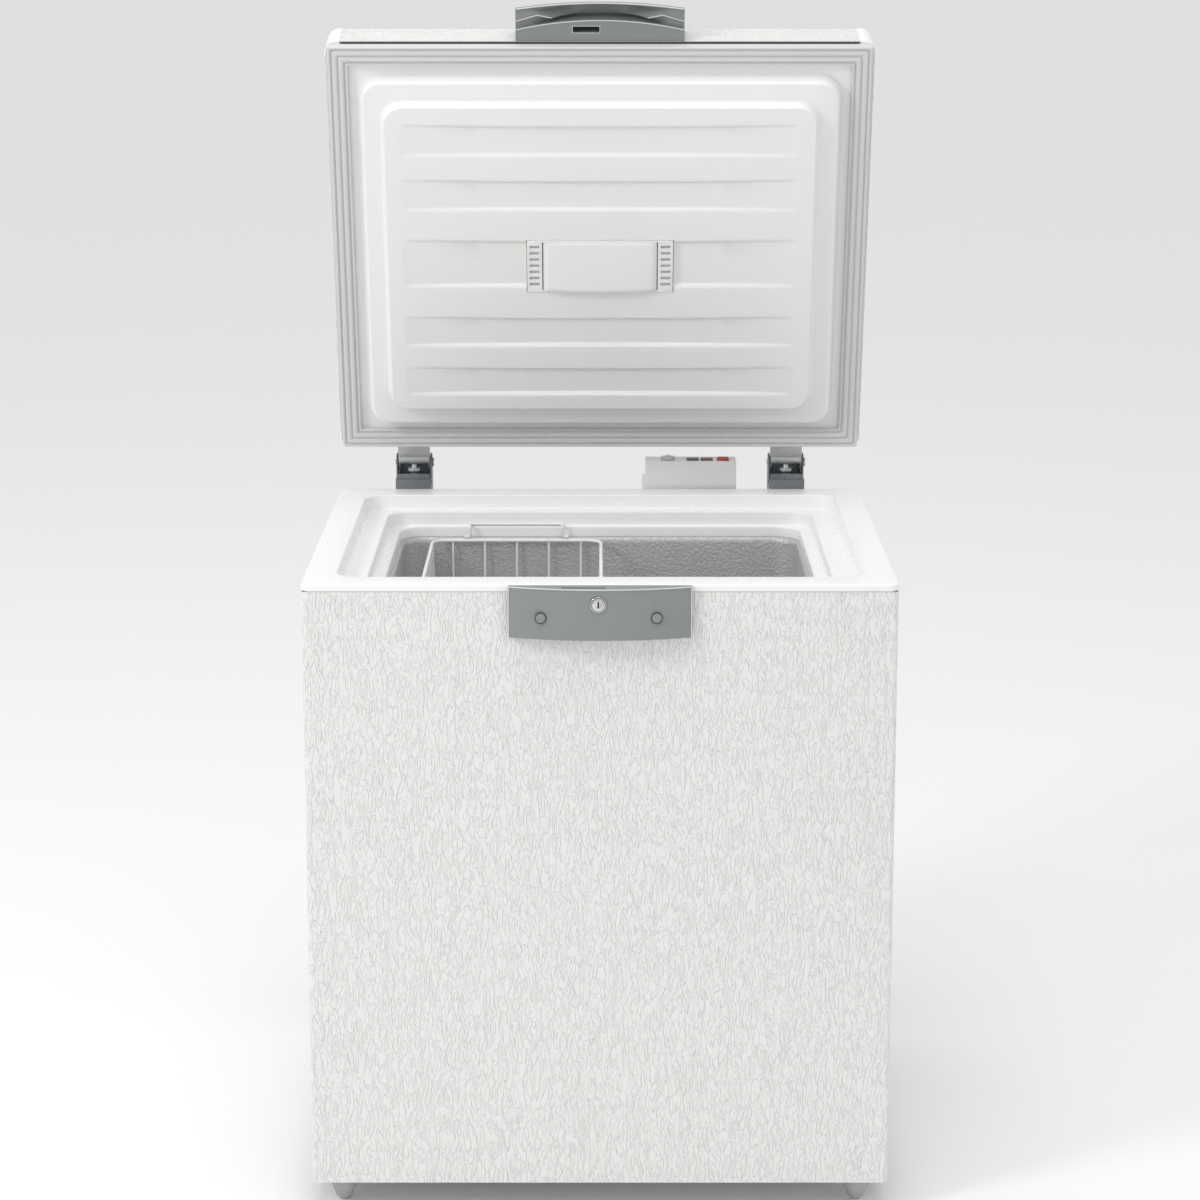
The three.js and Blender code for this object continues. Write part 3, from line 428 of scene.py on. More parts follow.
def grained_steel(name, colour, tilt):
    """Prepainted steel sheet embossed by a patterned roller. Thin upright creases like those of a fine
    hide catch the light along one side and shade the other, and the satin paint between them stays even.
    The creases are the narrow bands where a stretched noise passes through its middle value, and their
    colour is mixed a little darker as painted shade. The real relief is about 0.2 mm, and it is drawn deeper
    so that it shows from a few metres."""
    material, tree, shader = new_material(name, colour, 0.42)
    vector = object_place(tree, tilt)
    bend = add(tree, "ShaderNodeTexNoise", None, {"Vector": vector, "Scale": 1 / (26 * MM), "Detail": 2.0})
    shifted = add(tree, "ShaderNodeVectorMath", {"operation": "MULTIPLY_ADD"}, {
        0: bend.outputs["Color"], 1: (12 * MM, 12 * MM, 12 * MM), 2: vector})
    heights = []
    for width_mm, length_mm, band in ((7.0, 29.0, 0.028), (4.4, 18.0, 0.024)):
        room = add(tree, "ShaderNodeMapping", {"vector_type": "TEXTURE"}, {
            "Vector": shifted.outputs["Vector"], "Scale": (width_mm * MM, width_mm * MM, length_mm * MM)})
        field = add(tree, "ShaderNodeTexNoise", None, {
            "Vector": room.outputs["Vector"], "Scale": 1.0, "Detail": 1.0, "Roughness": 0.4})
        side = add(tree, "ShaderNodeMath", {"operation": "SUBTRACT"}, {0: field.outputs["Fac"], 1: 0.5})
        away = add(tree, "ShaderNodeMath", {"operation": "ABSOLUTE"}, {0: side.outputs["Value"]})
        crease = add(tree, "ShaderNodeMapRange", {"interpolation_type": "SMOOTHSTEP"}, {
            "Value": away.outputs["Value"], "From Min": 0.0, "From Max": band})
        heights.append(crease.outputs["Result"])
    both = add(tree, "ShaderNodeMath", {"operation": "ADD"}, {0: heights[0], 1: heights[1]})
    bumped(tree, shader, both.outputs["Value"], 0.36)
    # Painted shade: the colour darkens to #E3E3E1 in the creases, where shade would lie.
    low = add(tree, "ShaderNodeMath", {"operation": "MINIMUM"}, {0: heights[0], 1: heights[1]})
    shade = add(tree, "ShaderNodeMix", {"data_type": "RGBA"}, {
        "Factor": low.outputs["Value"], 6: linear("#E3E3E1"), 7: linear(colour)})
    tree.links.new(shade.outputs[2], shader.inputs["Base Color"])
    rough_range(tree, shader, bend.outputs["Fac"], 0.36, 0.48)
    return material


def moulded(name, colour, roughness, spread=0.012, grain_mm=2.5, relief_mm=0.012, coat=0.0, ior=1.53):
    """Injection moulded or vacuum formed plastic. Faint ripples from the mould soften its reflections,
    and its colour drifts very slightly over the surface."""
    material, tree, shader = new_material(name, colour, roughness, ior=ior, coat=coat)
    vector = object_place(tree)
    ripple = add(tree, "ShaderNodeTexNoise", None, {
        "Vector": vector, "Scale": 1 / (grain_mm * MM), "Detail": 2.0, "Roughness": 0.6})
    tinted(tree, shader, vector, colour, spread, 90)
    rough_range(tree, shader, ripple.outputs["Fac"], max(roughness - 0.06, 0.02), roughness + 0.06)
    bumped(tree, shader, ripple.outputs["Fac"], relief_mm)
    return material


def stucco_aluminium(name, colour):
    """Rolled aluminium sheet with an orange-peel emboss. Rounded pebbles a few millimetres across
    scatter soft highlights over a dull metal."""
    material, tree, shader = new_material(name, colour, 0.45, metallic=0.35)
    vector = object_place(tree)
    bend = add(tree, "ShaderNodeTexNoise", None, {"Vector": vector, "Scale": 1 / (7 * MM), "Detail": 1.0})
    shifted = add(tree, "ShaderNodeVectorMath", {"operation": "MULTIPLY_ADD"}, {
        0: bend.outputs["Color"], 1: (3 * MM, 3 * MM, 3 * MM), 2: vector})
    pebbles = add(tree, "ShaderNodeTexVoronoi", {"feature": "SMOOTH_F1"}, {
        "Vector": shifted.outputs["Vector"], "Scale": 1 / (3.4 * MM), "Smoothness": 0.7, "Randomness": 1.0})
    bumped(tree, shader, pebbles.outputs["Distance"], 0.7)
    tinted(tree, shader, vector, colour, 0.05, 40)
    rough_range(tree, shader, pebbles.outputs["Distance"], 0.32, 0.52)
    return material


def worked_metal(name, colour, roughness, stretch=(1, 1, 1), size_mm=3.0, spread=0.06, relief_mm=0.01,
                 metallic=1.0):
    """Metal with the marks of its making: drawn lines where the stretch is long one way, zinc spangle or
    a cast skin where it is even. The marks vary the roughness, so highlights break up."""
    material, tree, shader = new_material(name, colour, roughness, metallic=metallic)
    vector = object_place(tree, 0.0, stretch)
    marks = tinted(tree, shader, vector, colour, spread, size_mm, 4.0)
    rough_range(tree, shader, marks.outputs["Fac"], max(roughness - 0.1, 0.03), roughness + 0.12)
    bumped(tree, shader, marks.outputs["Fac"], relief_mm)
    return material


def rigid_foam(name, colour):
    """Polyurethane foam that has filled its mould. Its skin shows closed bubbles and a warm straw
    colour."""
    material, tree, shader = new_material(name, colour, 0.85)
    vector = object_place(tree)
    cells = add(tree, "ShaderNodeTexVoronoi", {"feature": "F1"}, {"Vector": vector, "Scale": 1 / (2.4 * MM)})
    tinted(tree, shader, vector, colour, 0.09, 25)
    bumped(tree, shader, cells.outputs["Distance"], 0.5)
    return material


def clear_glass(name, colour):
    """Thin glass of a small bulb, clear with a faint warm tint and tiny waves from blowing."""
    material, tree, shader = new_material(name, colour, 0.06, ior=1.5)
    shader.inputs["Transmission Weight"].default_value = 0.9
    vector = object_place(tree)
    tinted(tree, shader, vector, colour, 0.02, 12)
    return material


SHADES = {}


def make_materials(settings):
    """Fills the table of finishes, with the colours that a user may change taken from the settings."""
    lid_tilt = math.pi / 2 - OPEN_ANGLE
    SHADES.update({
        "body_steel": grained_steel("grained_prepainted_steel", settings.skin_colour, 0.0),
        "lid_steel": grained_steel("grained_prepainted_steel_lid", settings.skin_colour, lid_tilt),
        "rim_abs": moulded("gloss_white_abs", settings.moulding_colour, 0.26),
        "liner_hips": moulded("satin_white_polystyrene", "#EDEDEC", 0.34),
        "tub_aluminium": stucco_aluminium("stucco_aluminium", settings.tub_colour),
        "panel_abs": moulded("satin_grey_abs", settings.panel_colour, 0.38, 0.02, 1.2, 0.01),
        # Painted highlight: a pale grey for thin edges of the grip, the latch slot and the fascia, standing
        # in for the light they catch.
        "painted_highlight_pale": moulded("painted_highlight_grey_edge", "#D4D6D6", 0.2, 0.02, 1.2, 0.004),
        "handle_abs": moulded("satin_grey_abs_handle", "#858888", 0.38, 0.02, 1.2, 0.01),
        "chrome": worked_metal("bright_chrome_plate", "#D2D3D5", 0.12, size_mm=1.2, spread=0.02,
                               relief_mm=0.002),
        "leaf_zinc": worked_metal("galvanised_steel", "#C6C8C9", 0.42, size_mm=5.0, metallic=0.6),
        "bracket_zinc": worked_metal("blue_passivated_steel", "#7E8285", 0.38, size_mm=4.0, metallic=0.8),
        "plate_zinc": worked_metal("spangled_zinc_sheet", "#A4A7A9", 0.42, size_mm=9.0, spread=0.12,
                                   metallic=0.85),
        "spring_steel": worked_metal("oiled_spring_steel", "#6E7072", 0.3, (1, 1, 0.1), 0.8),
        "gasket_pvc": moulded("soft_pvc_gasket", "#D3D3D5", 0.55, 0.01, 0.8, 0.002),
        # Painted shadow: a near-black colour for thin gaps and the keyway, where only shade lies.
        "painted_shadow_dark": moulded("painted_shadow_near_black", "#3C3D3F", 0.6, 0.05, 1.0, 0.02),
        "wire_coat": moulded("polyethylene_coated_wire", "#EFEFEE", 0.32, 0.015, 1.6, 0.05),
        "lamp_cover": moulded("opal_polystyrene_lamp_cover", "#EAEAEC", 0.28, 0.01, 1.0, 0.01),
        "lamp_case": moulded("white_polystyrene_lamp_case", "#ECECEC", 0.36, 0.01, 1.0, 0.01),
        "bulb_glass": clear_glass("bulb_glass", "#F6F3E8"),
        "foot_pp": moulded("light_grey_polypropylene", "#AEAFB1", 0.48, 0.02, 1.4, 0.03),
        "control_abs": moulded("satin_white_abs_box", "#E2E2E2", 0.33, 0.01, 1.8, 0.01),
        "control_grey": moulded("pale_grey_abs_knob", "#C9CACB", 0.36, 0.015, 1.0, 0.01),
        "green_lens": moulded("green_indicator_lens", "#123A22", 0.4, 0.05, 2.0, 0.004, ior=1.35),
        "red_lens": moulded("red_indicator_lens", "#5A1012", 0.4, 0.05, 2.0, 0.004, ior=1.35),
        "orange_key": moulded("orange_switch_key", "#B93A18", 0.4, 0.04, 2.0, 0.004, ior=1.35),
        "black_enamel": moulded("black_baked_enamel", "#1B1C1E", 0.34, 0.06, 1.6, 0.05, coat=0.4),
        "black_rubber": moulded("black_rubber", "#202123", 0.62, 0.06, 1.0, 0.05),
        "copper_tube": worked_metal("drawn_copper_tube", "#B9714A", 0.3, (1, 1, 6), 4.0, 0.12),
        "foam": rigid_foam("rigid_polyurethane_foam", "#E6D9A2"),
        "grille_pp": moulded("white_polypropylene_grille", "#E4E4E3", 0.42, 0.01, 1.2, 0.02),
        "drain_pp": moulded("white_polypropylene_fitting", "#E6E6E4", 0.45, 0.01, 1.0, 0.02),
    })


# ------------------------------------------------------------------ cabinet pieces
GRILLE = (SKIN_HALF - 5, 300, 70, SKIN_HALF + 5, 560, 280)
SHELL_BOTTOM = 38
DRAIN_X, DRAIN_Y = -222, 125
TUB_HALF, TUB_FRONT, TUB_BACK = 271, 77, 517
STEP_X, STEP_Z, FLOOR_Z = 85, 330, 112
SHELL_TOP = RIM_TOP - 9.3


def shell_sheet():
    """The outer sheet: a plan line up one side, round two small front corners and down the other side,
    carried from the bottom edge to the top edge."""
    back = DEPTH - 2
    plan = soften([[-SKIN_HALF, back], [-SKIN_HALF, 1], [SKIN_HALF, 1], [SKIN_HALF, back]], 7, 8)
    sides = np.array([[-SKIN_HALF, 450.0], [-SKIN_HALF, 250.0]])
    plan = np.concatenate([plan[:1], sides, plan[1:-1], sides[::-1] * [-1, 1], plan[-1:]])
    heights = np.array([SHELL_BOTTOM, SHELL_BOTTOM + 1.2, 200, 420, 640, SHELL_TOP - 1.0, SHELL_TOP])
    points = np.zeros((len(heights), len(plan), 3))
    points[..., 0] = plan[None, :, 0]
    points[..., 1] = plan[None, :, 1]
    points[..., 2] = heights[:, None]
    return surface(points)


def rim_ring():
    """The top moulding: a closed profile carried round rounded rectangles. It runs up the outside, over
    the flat top, down two stepped ledges to the tub and back underneath."""
    skirt, ledge, lower_ledge, under = RIM_TOP - 9, RIM_TOP - 19.5, RIM_TOP - 39, RIM_TOP - 54
    rows = [
        level(HALF, 0, 12, skirt), level(HALF, 0, 12, RIM_TOP),
        level(325, 45, 30, RIM_TOP), level(323.6, 46.4, 29, ledge),
        level(292, 66, 32, ledge), level(290.6, 67.4, 31, lower_ledge),
        level(276, 73, 34, lower_ledge), level(274, 74, 34, under),
        level(360, 4, 8, under), level(360, 4, 8, skirt),
    ]
    return loft(soften(rows, 2.6, 4, True, (1, 5)), 10, True)


def tub_sheet():
    """The tub: a flange under the rim, then upright walls that round into the floor, with the right wall
    stepping in over the machinery. Each row is a rounded rectangle."""
    under = RIM_TOP - 54.3
    rows = [
        [-283, 283, 65, 529, 47, under],
        [-TUB_HALF, TUB_HALF, TUB_FRONT, TUB_BACK, 35, under],
        [-TUB_HALF, TUB_HALF, TUB_FRONT, TUB_BACK, 35, STEP_Z],
        [-TUB_HALF, STEP_X, TUB_FRONT, TUB_BACK, 35, STEP_Z],
        [-TUB_HALF, STEP_X, TUB_FRONT, TUB_BACK, 35, FLOOR_Z],
        [-230, 44, 118, 476, 10, FLOOR_Z],
    ]
    return loft(soften(rows, 8, 5, False, (1, 5)), 10, False, (False, True))


def drain_hole():
    """A round shaft through the tub's floor."""
    return loft(turned(DRAIN_X, DRAIN_Y, [[14, 90], [14, 130]]), 8)


def drain_plug_shape():
    """A turned plug with a domed head and a pinched grip across it."""
    profile = [[9, 98], [9, 112.4], [17.6, 112.4], [17.6, 115.4], [13, 117], [1, 117.3]]
    head = turned(DRAIN_X, DRAIN_Y, soften(profile, 1.2, 3))
    rows = [[DRAIN_X - reach, DRAIN_X + reach, DRAIN_Y - thick, DRAIN_Y + thick, radius, z]
            for reach, thick, radius, z in ((10, 1.6, 1.4, 115), (10, 1.6, 1.4, 130), (7, 0.8, 0.7, 130))]
    return joined(loft(head, 6), loft(soften(rows, 1.5, 4, False, (0, 5)), 4))


def foot_shape(x, y):
    """A turned foot that tapers from a wide collar to a small pad, with a few turning steps."""
    profile = [[6, 0], [7, 4], [11, 5.5], [13, 13.5], [14.5, 15], [16.5, 21.5], [17.5, 23], [17.5, 37.6]]
    return loft(turned(x, y, soften(profile, 1.0, 3)), 6)


class FREEZER_OT_cabinet(bpy.types.Operator):
    """Builds the outer sheet, the rim, the tub, the drain fittings and the feet"""
    bl_idname = "freezer.cabinet"
    bl_label = "Cabinet"

    def execute(self, context):
        make("cabinet_skin", shell_sheet(), SHADES["body_steel"], "cabinet", ("cabinet_shell",),
             wall=SHEET, flip=facing_in(shell_sheet()), cuts=(block(*GRILLE),))
        make("rim_moulding", rim_ring(), SHADES["rim_abs"], "cabinet", ("rim_frame",))
        make("tub_lining", tub_sheet(), SHADES["tub_aluminium"], "cabinet", ("inner_tub",),
             wall=0.9, flip=True, cuts=(drain_hole(),), angle=50)
        make("drain_stopper", drain_plug_shape(), SHADES["drain_pp"], "drain_plug", ("drain_plug",))
        for node in nodes_named("foot_"):
            x, y, _ = node_box(node).mean(0)
            make(node.replace("foot", "levelling_foot"), foot_shape(x, y), SHADES["foot_pp"],
                 "cabinet", (node,))
        return {"FINISHED"}


def facing_in(shape):
    """Whether the automatic choice of outside points into the cabinet. On an open U of sheet that choice
    is unsure, so the frontmost face is asked."""
    probe = mesh_object("probe", shape)
    clean(probe.data)
    normals = np.zeros(len(probe.data.polygons) * 3)
    centres = np.zeros(len(probe.data.polygons) * 3)
    probe.data.polygons.foreach_get("normal", normals)
    probe.data.polygons.foreach_get("center", centres)
    normals, centres = normals.reshape(-1, 3), centres.reshape(-1, 3)
    front = int(np.argmin(centres[:, 1]))
    bpy.data.objects.remove(probe)
    return bool(normals[front, 1] > 0)


# ------------------------------------------------------------------ basket
class FREEZER_OT_basket(bpy.types.Operator):
    """Builds the wire basket and the two wire handles that hang it"""
    bl_idname = "freezer.basket"
    bl_label = "Basket"

    def execute(self, context):
        pitch = context.scene.freezer_settings.wire_pitch / MM
        make("wire_basket", basket_wires(pitch), SHADES["wire_coat"], "basket", ("basket",),
             angle=60)
        for end, y, out in (("front", 84, 70), ("rear", 510, 524)):
            make("basket_grip_" + end, hanger_wire(y, out), SHADES["wire_coat"], "basket",
                 ("basket_handle_" + end,), angle=60)
        return {"FINISHED"}


def hanger_wire(y, out):
    """A handle that hangs the basket: along the frame, up, out over the rim's ledge and across."""
    low, high = RIM_TOP - 51.5, RIM_TOP - 36.5
    left, right, tail = -180.0, -52.0, 8
    path = soften([[left - tail, y, low], [left, y, low], [left, y, high], [left, out, high],
                   [right, out, high], [right, y, high], [right, y, low], [right + tail, y, low]], 4.5, 5)
    return tube(path, 2.2, (0.52, 0.6 * np.sign(out - y), 0.61), 10)


def basket_loop(left, right, front, back, radius, z, wire):
    """A closed wire round a rounded rectangle."""
    path = rings([[left, right, front, back, radius, z]], 6)[0]
    return tube(path, wire, (0, 0, 1), 10, True)


def basket_wires(pitch):
    """Every wire of the basket: a stout top frame, two ties and a bottom frame that draws in by the
    taper, and U-shaped wires both ways at the pitch."""
    left, right, front, back = -231.5, 1.5, 84.5, 509.5
    top, bottom, taper = 758.4, 573.0, 8.0
    shapes = [basket_loop(left, right, front, back, 19, top, 2.5)]
    for share in (0.36, 0.7, 1.0):
        inset = taper * share - 1.2
        z = top + (bottom - top) * share
        shapes.append(basket_loop(left + inset, right - inset, front + inset, back - inset, 18, z, 1.9))
    thin, bend, corner_room = 1.6, 9, 40
    count = int(round((back - front - corner_room) / pitch))
    for y in np.linspace(front + 22, back - 22, count + 1):
        path = [[left, y, top], [left + taper, y, bottom], [right - taper, y, bottom], [right, y, top]]
        shapes.append(tube(soften(path, bend, 5), thin, (0, 1, 0), 8))
    count = int(round((right - left - corner_room) / pitch))
    for x in np.linspace(left + 28, right - 28, count + 1):
        path = [[x, front, top], [x, front + taper, bottom], [x, back - taper, bottom], [x, back, top]]
        shapes.append(tube(soften(path, bend, 5), thin, (1, 0, 0), 8))
    return joined(*shapes)


# ------------------------------------------------------------------ lid
BANDS = ((103, 145), (180, 222), (266, 332), (378, 420), (453, 493))
BAND_HALF = 264.0
BAND_BOW, BAND_RAMP, BAND_DEPTH = 2.5, 4.8, 5.2
GRIP_HALF = 111.5
GRIP_LIP, GRIP_FLANGE = (43.5, 52.0), (15.0, 28.0)
GRIP_LOW = LINER_Z + 1.5
SLOT = (-36, -19.3, -0.5, -10.8)
SLOT_CUT_LOW, SLOT_CUT_HIGH = 800, 852
LAMP = (-99.3, 265, 99.3, 341)


def lid_sheet():
    """The lid's outer sheet: upright edges, a small round and a flat top, as rounded rectangles."""
    h, d = SKIN_HALF, DEPTH
    rows = [
        [-h, h, 1, d - 1, 17, LINER_Z + 2],
        [-h, h, 1, d - 1, 17, LINER_Z + 30],
        [-h, h, 1, d - 1, 17, LID_TOP - 0.5],
        [-h + 16, h - 16, 17, d - 17, 4, LID_TOP - 0.5],
    ]
    return loft(soften(rows, 3.2, 5, False, (1, 5)), 8, False, (False, True))


def liner_sheet():
    """The lid's inner lining: a flange, two raised plateaus with sloping sides, and a panel with pressed
    bands. A band's depth rises from nothing at its ends to the full depth in the middle, and its long
    edges are short ramps. The rounded outlines shrink to the square panel, whose edge points match the
    grid's."""
    half, front, back = 268.0, 96.0, 498.0
    xs = np.unique(np.concatenate([np.linspace(-half, half, 61), [LAMP[0], LAMP[2]],
                                   np.linspace(-half, -half + 14, 6), np.linspace(half - 14, half, 6)]))
    edges = [e + s for band in BANDS for e in band for s in (-4, -2.5, -1.2, 0, 1.2, 2.5, 4)]
    ys = np.unique(np.round(np.concatenate([[front, back, LAMP[1], LAMP[3]], edges,
                                            [(a + b) / 2 for a, b in BANDS],
                                            [(BANDS[i][1] + BANDS[i + 1][0]) / 2 for i in range(4)]]), 3))
    keep = np.concatenate([[True], np.diff(ys) > 0.35])
    ys = ys[keep]
    across = (xs[1:-1] + half) / (2 * half)
    along = (ys[1:-1] - front) / (back - front)
    low, plateau = RIM_TOP - 29, RIM_TOP - 13
    rows = [
        level(358, 7, 12, LINER_Z + 1.6), level(358, 7, 12, LINER_Z),
        level(321, 45.5, 29, LINER_Z), level(315.5, 50.5, 23.5, plateau),
        level(290, 75, 28, plateau), level(285, 80, 24, low),
    ]
    soft = soften(rows, 3.4, 5, False, (1, 5))
    flat = np.array([[-half - 4, half + 4, front - 4, back + 4, 6, low],
                     [-half, half, front, back, 0.0, low]])
    outline = rings(np.concatenate([soft, flat]), 8, across, along)
    frame_points, frame_faces = surface(outline, False, True)
    x, y = np.meshgrid(xs, ys)
    fade = np.clip(1 - (x / BAND_HALF) ** 2, 0, 1) ** 0.55
    depth = np.zeros_like(x)
    for start, end in BANDS:
        bow = BAND_BOW * (1 - (x / BAND_HALF) ** 2)
        rise = np.clip((y - start - bow + BAND_RAMP / 2) / BAND_RAMP, 0, 1)
        fall = np.clip((end - y + BAND_RAMP / 2) / BAND_RAMP, 0, 1)
        depth += rise ** 2 * (3 - 2 * rise) * fall ** 2 * (3 - 2 * fall)
    z = low + BAND_DEPTH * depth * fade
    panel = np.stack([x, y, z], -1)
    faces = grid_faces(*x.shape)
    middle = panel.reshape(-1, 3)[np.array(faces)].mean(1)
    lamp = (np.abs(middle[:, 0]) < LAMP[2]) & (middle[:, 1] > LAMP[1]) & (middle[:, 1] < LAMP[3])
    faces = [f for f, gone in zip(faces, lamp.tolist()) if not gone]
    return joined((frame_points, frame_faces), (panel.reshape(-1, 3), faces))


def gasket_ring():
    """The magnetic seal: a closed profile of three soft beads carried round the lid. The height over the
    sealing face dips in three narrow grooves."""
    seal_width, seal_height, edge_round = 28, 11.0, 2.2
    u = np.linspace(0, seal_width, 57)
    edge = np.minimum(u, seal_width - u)
    round_off = np.clip(edge / edge_round, 0, 1)
    height = seal_height * np.sqrt(1 - (1 - round_off) ** 2)
    for groove, width, deep in ((5.8, 1.2, 3.0), (14.5, 1.5, 3.0), (23.0, 1.5, 3.8)):
        height -= deep * np.exp(-((u - groove) / width) ** 2)
    height -= 1.2 * np.exp(-((u - 26) / 2.0) ** 2)
    top = LINER_Z - 0.4
    z = top - np.maximum(height, 0.0)
    u = np.concatenate([u, [27.6, 14.0, 0.4]])
    z = np.concatenate([z, [top + 0.1, top + 0.1, top + 0.1]])
    rows = np.stack([-361 + u, 361 - u, 4 + u, DEPTH - 4 - u, np.full_like(u, 2.5), z], -1)
    return loft(rows, 3, True)


def bowed(x, half, ends, middle):
    """A shallow arc that gives the value at each x, from the ends' value at the half width to the
    middle's."""
    rise = middle - ends
    radius = (half * half + rise * rise) / (2 * rise)
    return middle - radius + np.sqrt(radius * radius - x * x)


def handle_shape():
    """The bowed grip across the lid's front. At each x the section is a closed line of points: the flat
    flange with a bright bead, the hollow for the fingers with its chevron ridge, the lip and the rounded
    front. The hollow is shallow at the ends and deep in the middle."""
    half, low = GRIP_HALF, GRIP_LOW
    x = np.unique(np.concatenate([np.linspace(-half, half, 97), [-82.5, 82.5, -62.8, 62.8]]))
    a = np.abs(x)
    lip = bowed(x, half, *GRIP_LIP)
    flange = bowed(x, half, *GRIP_FLANGE)
    share = np.clip((98 - a) / 62, 0, 1)
    share = share * share * (3 - 2 * share)
    deep = 5 + 19 * share
    ridge = np.interp(a, [0, 50, 62.8, 82.5, half], [flange.max() + 4, 32.5, 30.2, 34.6, 25.8])
    ridge = np.maximum(ridge, flange + 3.0)
    ridge_drop = np.interp(a, [0, 30, 58, 66, half], [22, 20, 7, 1.2, 1.0])
    ridge_drop = np.minimum(ridge_drop, deep)
    sag = 2.4 + 17 * share
    zero = np.zeros_like(x)
    columns = [
        (zero - 0.3, zero + low), (flange - 1.6, zero + low), (flange - 0.9, zero + low - 0.5),
        (flange - 0.2, zero + low - 0.5), (flange + 0.3, zero + low + 0.1), (flange + 0.6, low + deep - 1),
        (flange + 1.4, low + deep), (ridge - 1.6, low + np.maximum(ridge_drop, deep * 0.85)),
        (ridge - 0.9, low + ridge_drop - 0.6), (ridge, low + ridge_drop - 0.9),
        (ridge + 0.8, low + ridge_drop), ((ridge + lip) / 2, low + sag),
        (lip - 3.6, low + 2.2 + 2 * share), (lip - 2.4, low - 0.1 + zero),
        (lip - 1.2, zero + low - 0.5), (lip - 0.2, zero + low + 0.2), (lip, zero + low + 2.0),
        (lip - 1.2, zero + low + 8), (lip - 5.5, zero + low + 21), (lip - 14, zero + low + 33),
        (lip - 26, zero + low + 41), (zero + 6, zero + low + 43.2), (zero - 0.3, zero + low + 43.4),
    ]
    d = np.stack([c[0] for c in columns], 1)
    z = np.stack([c[1] for c in columns], 1)
    xs = np.broadcast_to(x[:, None], d.shape)
    return surface(np.stack([xs, -d, z], -1), False, True, True, True)


def bead(x, d, z, radius):
    """A thin tube along a line across the grip, coloured as a painted highlight."""
    return tube(np.stack([x, -d, z], -1), radius, (0, 0, 1), 8)


def handle_highlight_beads():
    """Painted highlights: thin pale tubes along the edges of the flange, the chevrons and the lip."""
    half, low = GRIP_HALF - 0.9, GRIP_LOW
    x = np.linspace(-half, half, 61)
    shapes = [bead(x, bowed(x, GRIP_HALF, *GRIP_FLANGE) - 0.6, np.full_like(x, low - 0.2), 0.75),
              bead(x, bowed(x, GRIP_HALF, *GRIP_LIP) - 1.0, np.full_like(x, low + 0.1), 0.85)]
    for side in (-1, 1):
        a = np.array([half, 84.5, 82.5, 80.5, 64.0])
        d = np.array([26.2, 34.1, 34.4, 34.1, 30.8])
        path = soften(np.stack([side * a, -d, np.full(5, low + 0.2)], -1), 2.0, 3)
        shapes.append(tube(path, 0.7, (0, 0, 1), 8))
    return joined(*shapes)


def lamp_cover_shape():
    """The lamp's cover: a sheet bowed along and across, deeper towards the hinge side, that drops to its
    rim."""
    half, front, back, rim_z = 77, 265.6, 340.4, 785.5
    u, v = np.meshgrid(np.linspace(-1, 1, 41), np.linspace(0, 1, 25))
    x = half * u
    y = front + (back - front) * v + 2.6 * (1 - u * u) * np.clip(v * 1.6 - 0.6, 0, 1)
    bulge = (1.5 + 7.0 * v) * (1 - 0.55 * u ** 4)
    edge = np.minimum(np.minimum(1 - np.abs(u), v * 0.9), (1 - v) * 0.9) * 12
    edge = np.clip(edge, 0, 1)
    z = rim_z - (2 + bulge) * np.sqrt(1 - (1 - edge) ** 2)
    return surface(np.stack([x, y, z], -1))


def spring_shape(node):
    """A coil spring: the angle and the height both grow along the wire, with closed turns at both
    ends."""
    turns, coil, wire, room = 11, 7, 1.25, 1.4
    low, high = node_box(node)
    x, y, _ = (low + high) / 2
    bottom, top = low[2] + room, high[2] - room
    t = np.linspace(0, 1, 241)
    rise = np.interp(t, [0, 0.09, 0.91, 1], [0, 0.025, 0.975, 1])
    angle = 2 * np.pi * turns * t
    path = np.stack([x + coil * np.cos(angle), y + coil * np.sin(angle), bottom + (top - bottom) * rise], -1)
    return tube(path, wire, (0, 0, 1), 8)


class FREEZER_OT_lid(bpy.types.Operator):
    """Builds the lid's sheet, lining, seal, corner caps, grip and lamp"""
    bl_idname = "freezer.lid"
    bl_label = "Lid"

    def execute(self, context):
        make("lid_top_sheet", lid_sheet(), SHADES["lid_steel"], "lid", ("lid_skin",), lid=True,
             wall=SHEET)
        make("lid_lining", liner_sheet(), SHADES["liner_hips"], "lid", ("lid_liner",), lid=True,
             wall=1.6, flip=True, angle=28)
        make("lid_seal", gasket_ring(), SHADES["gasket_pvc"], "lid", ("lid_gasket",), lid=True,
             angle=50)
        make("lid_grip", handle_shape(), SHADES["handle_abs"], "lid", ("lid_handle",), lid=True,
             angle=30, cuts=(block(*SLOT[:2], SLOT_CUT_LOW, *SLOT[2:], SLOT_CUT_HIGH, 0.8),))
        make("lid_grip_highlight_beads", handle_highlight_beads(), SHADES["painted_highlight_pale"], "lid", (), lid=True,
             angle=60)
        make("latch_slot_frame", slot_frame(), SHADES["painted_highlight_pale"], "lid", (), lid=True)
        make("lamp_cover", lamp_cover_shape(), SHADES["lamp_cover"], "lid", ("lamp_lens",), lid=True,
             wall=1.2, flip=True, angle=50)
        soften_node("lamp_housing", "lamp_case", SHADES["lamp_case"], 0.7)
        for node in nodes_named("lid_cap_"):
            make(node.replace("lid_cap", "corner_cap"), cap_shape("right" in node, "front" in node),
                 SHADES["rim_abs"], "lid", (node,), lid=True, angle=40)
        make("lid_joint_painted_shadow", joint_shadow_strip(), SHADES["painted_shadow_dark"], "lid", (), lid=True)
        make("lid_seal_root", seal_root(), SHADES["gasket_pvc"], "lid", (), lid=True)
        return {"FINISHED"}


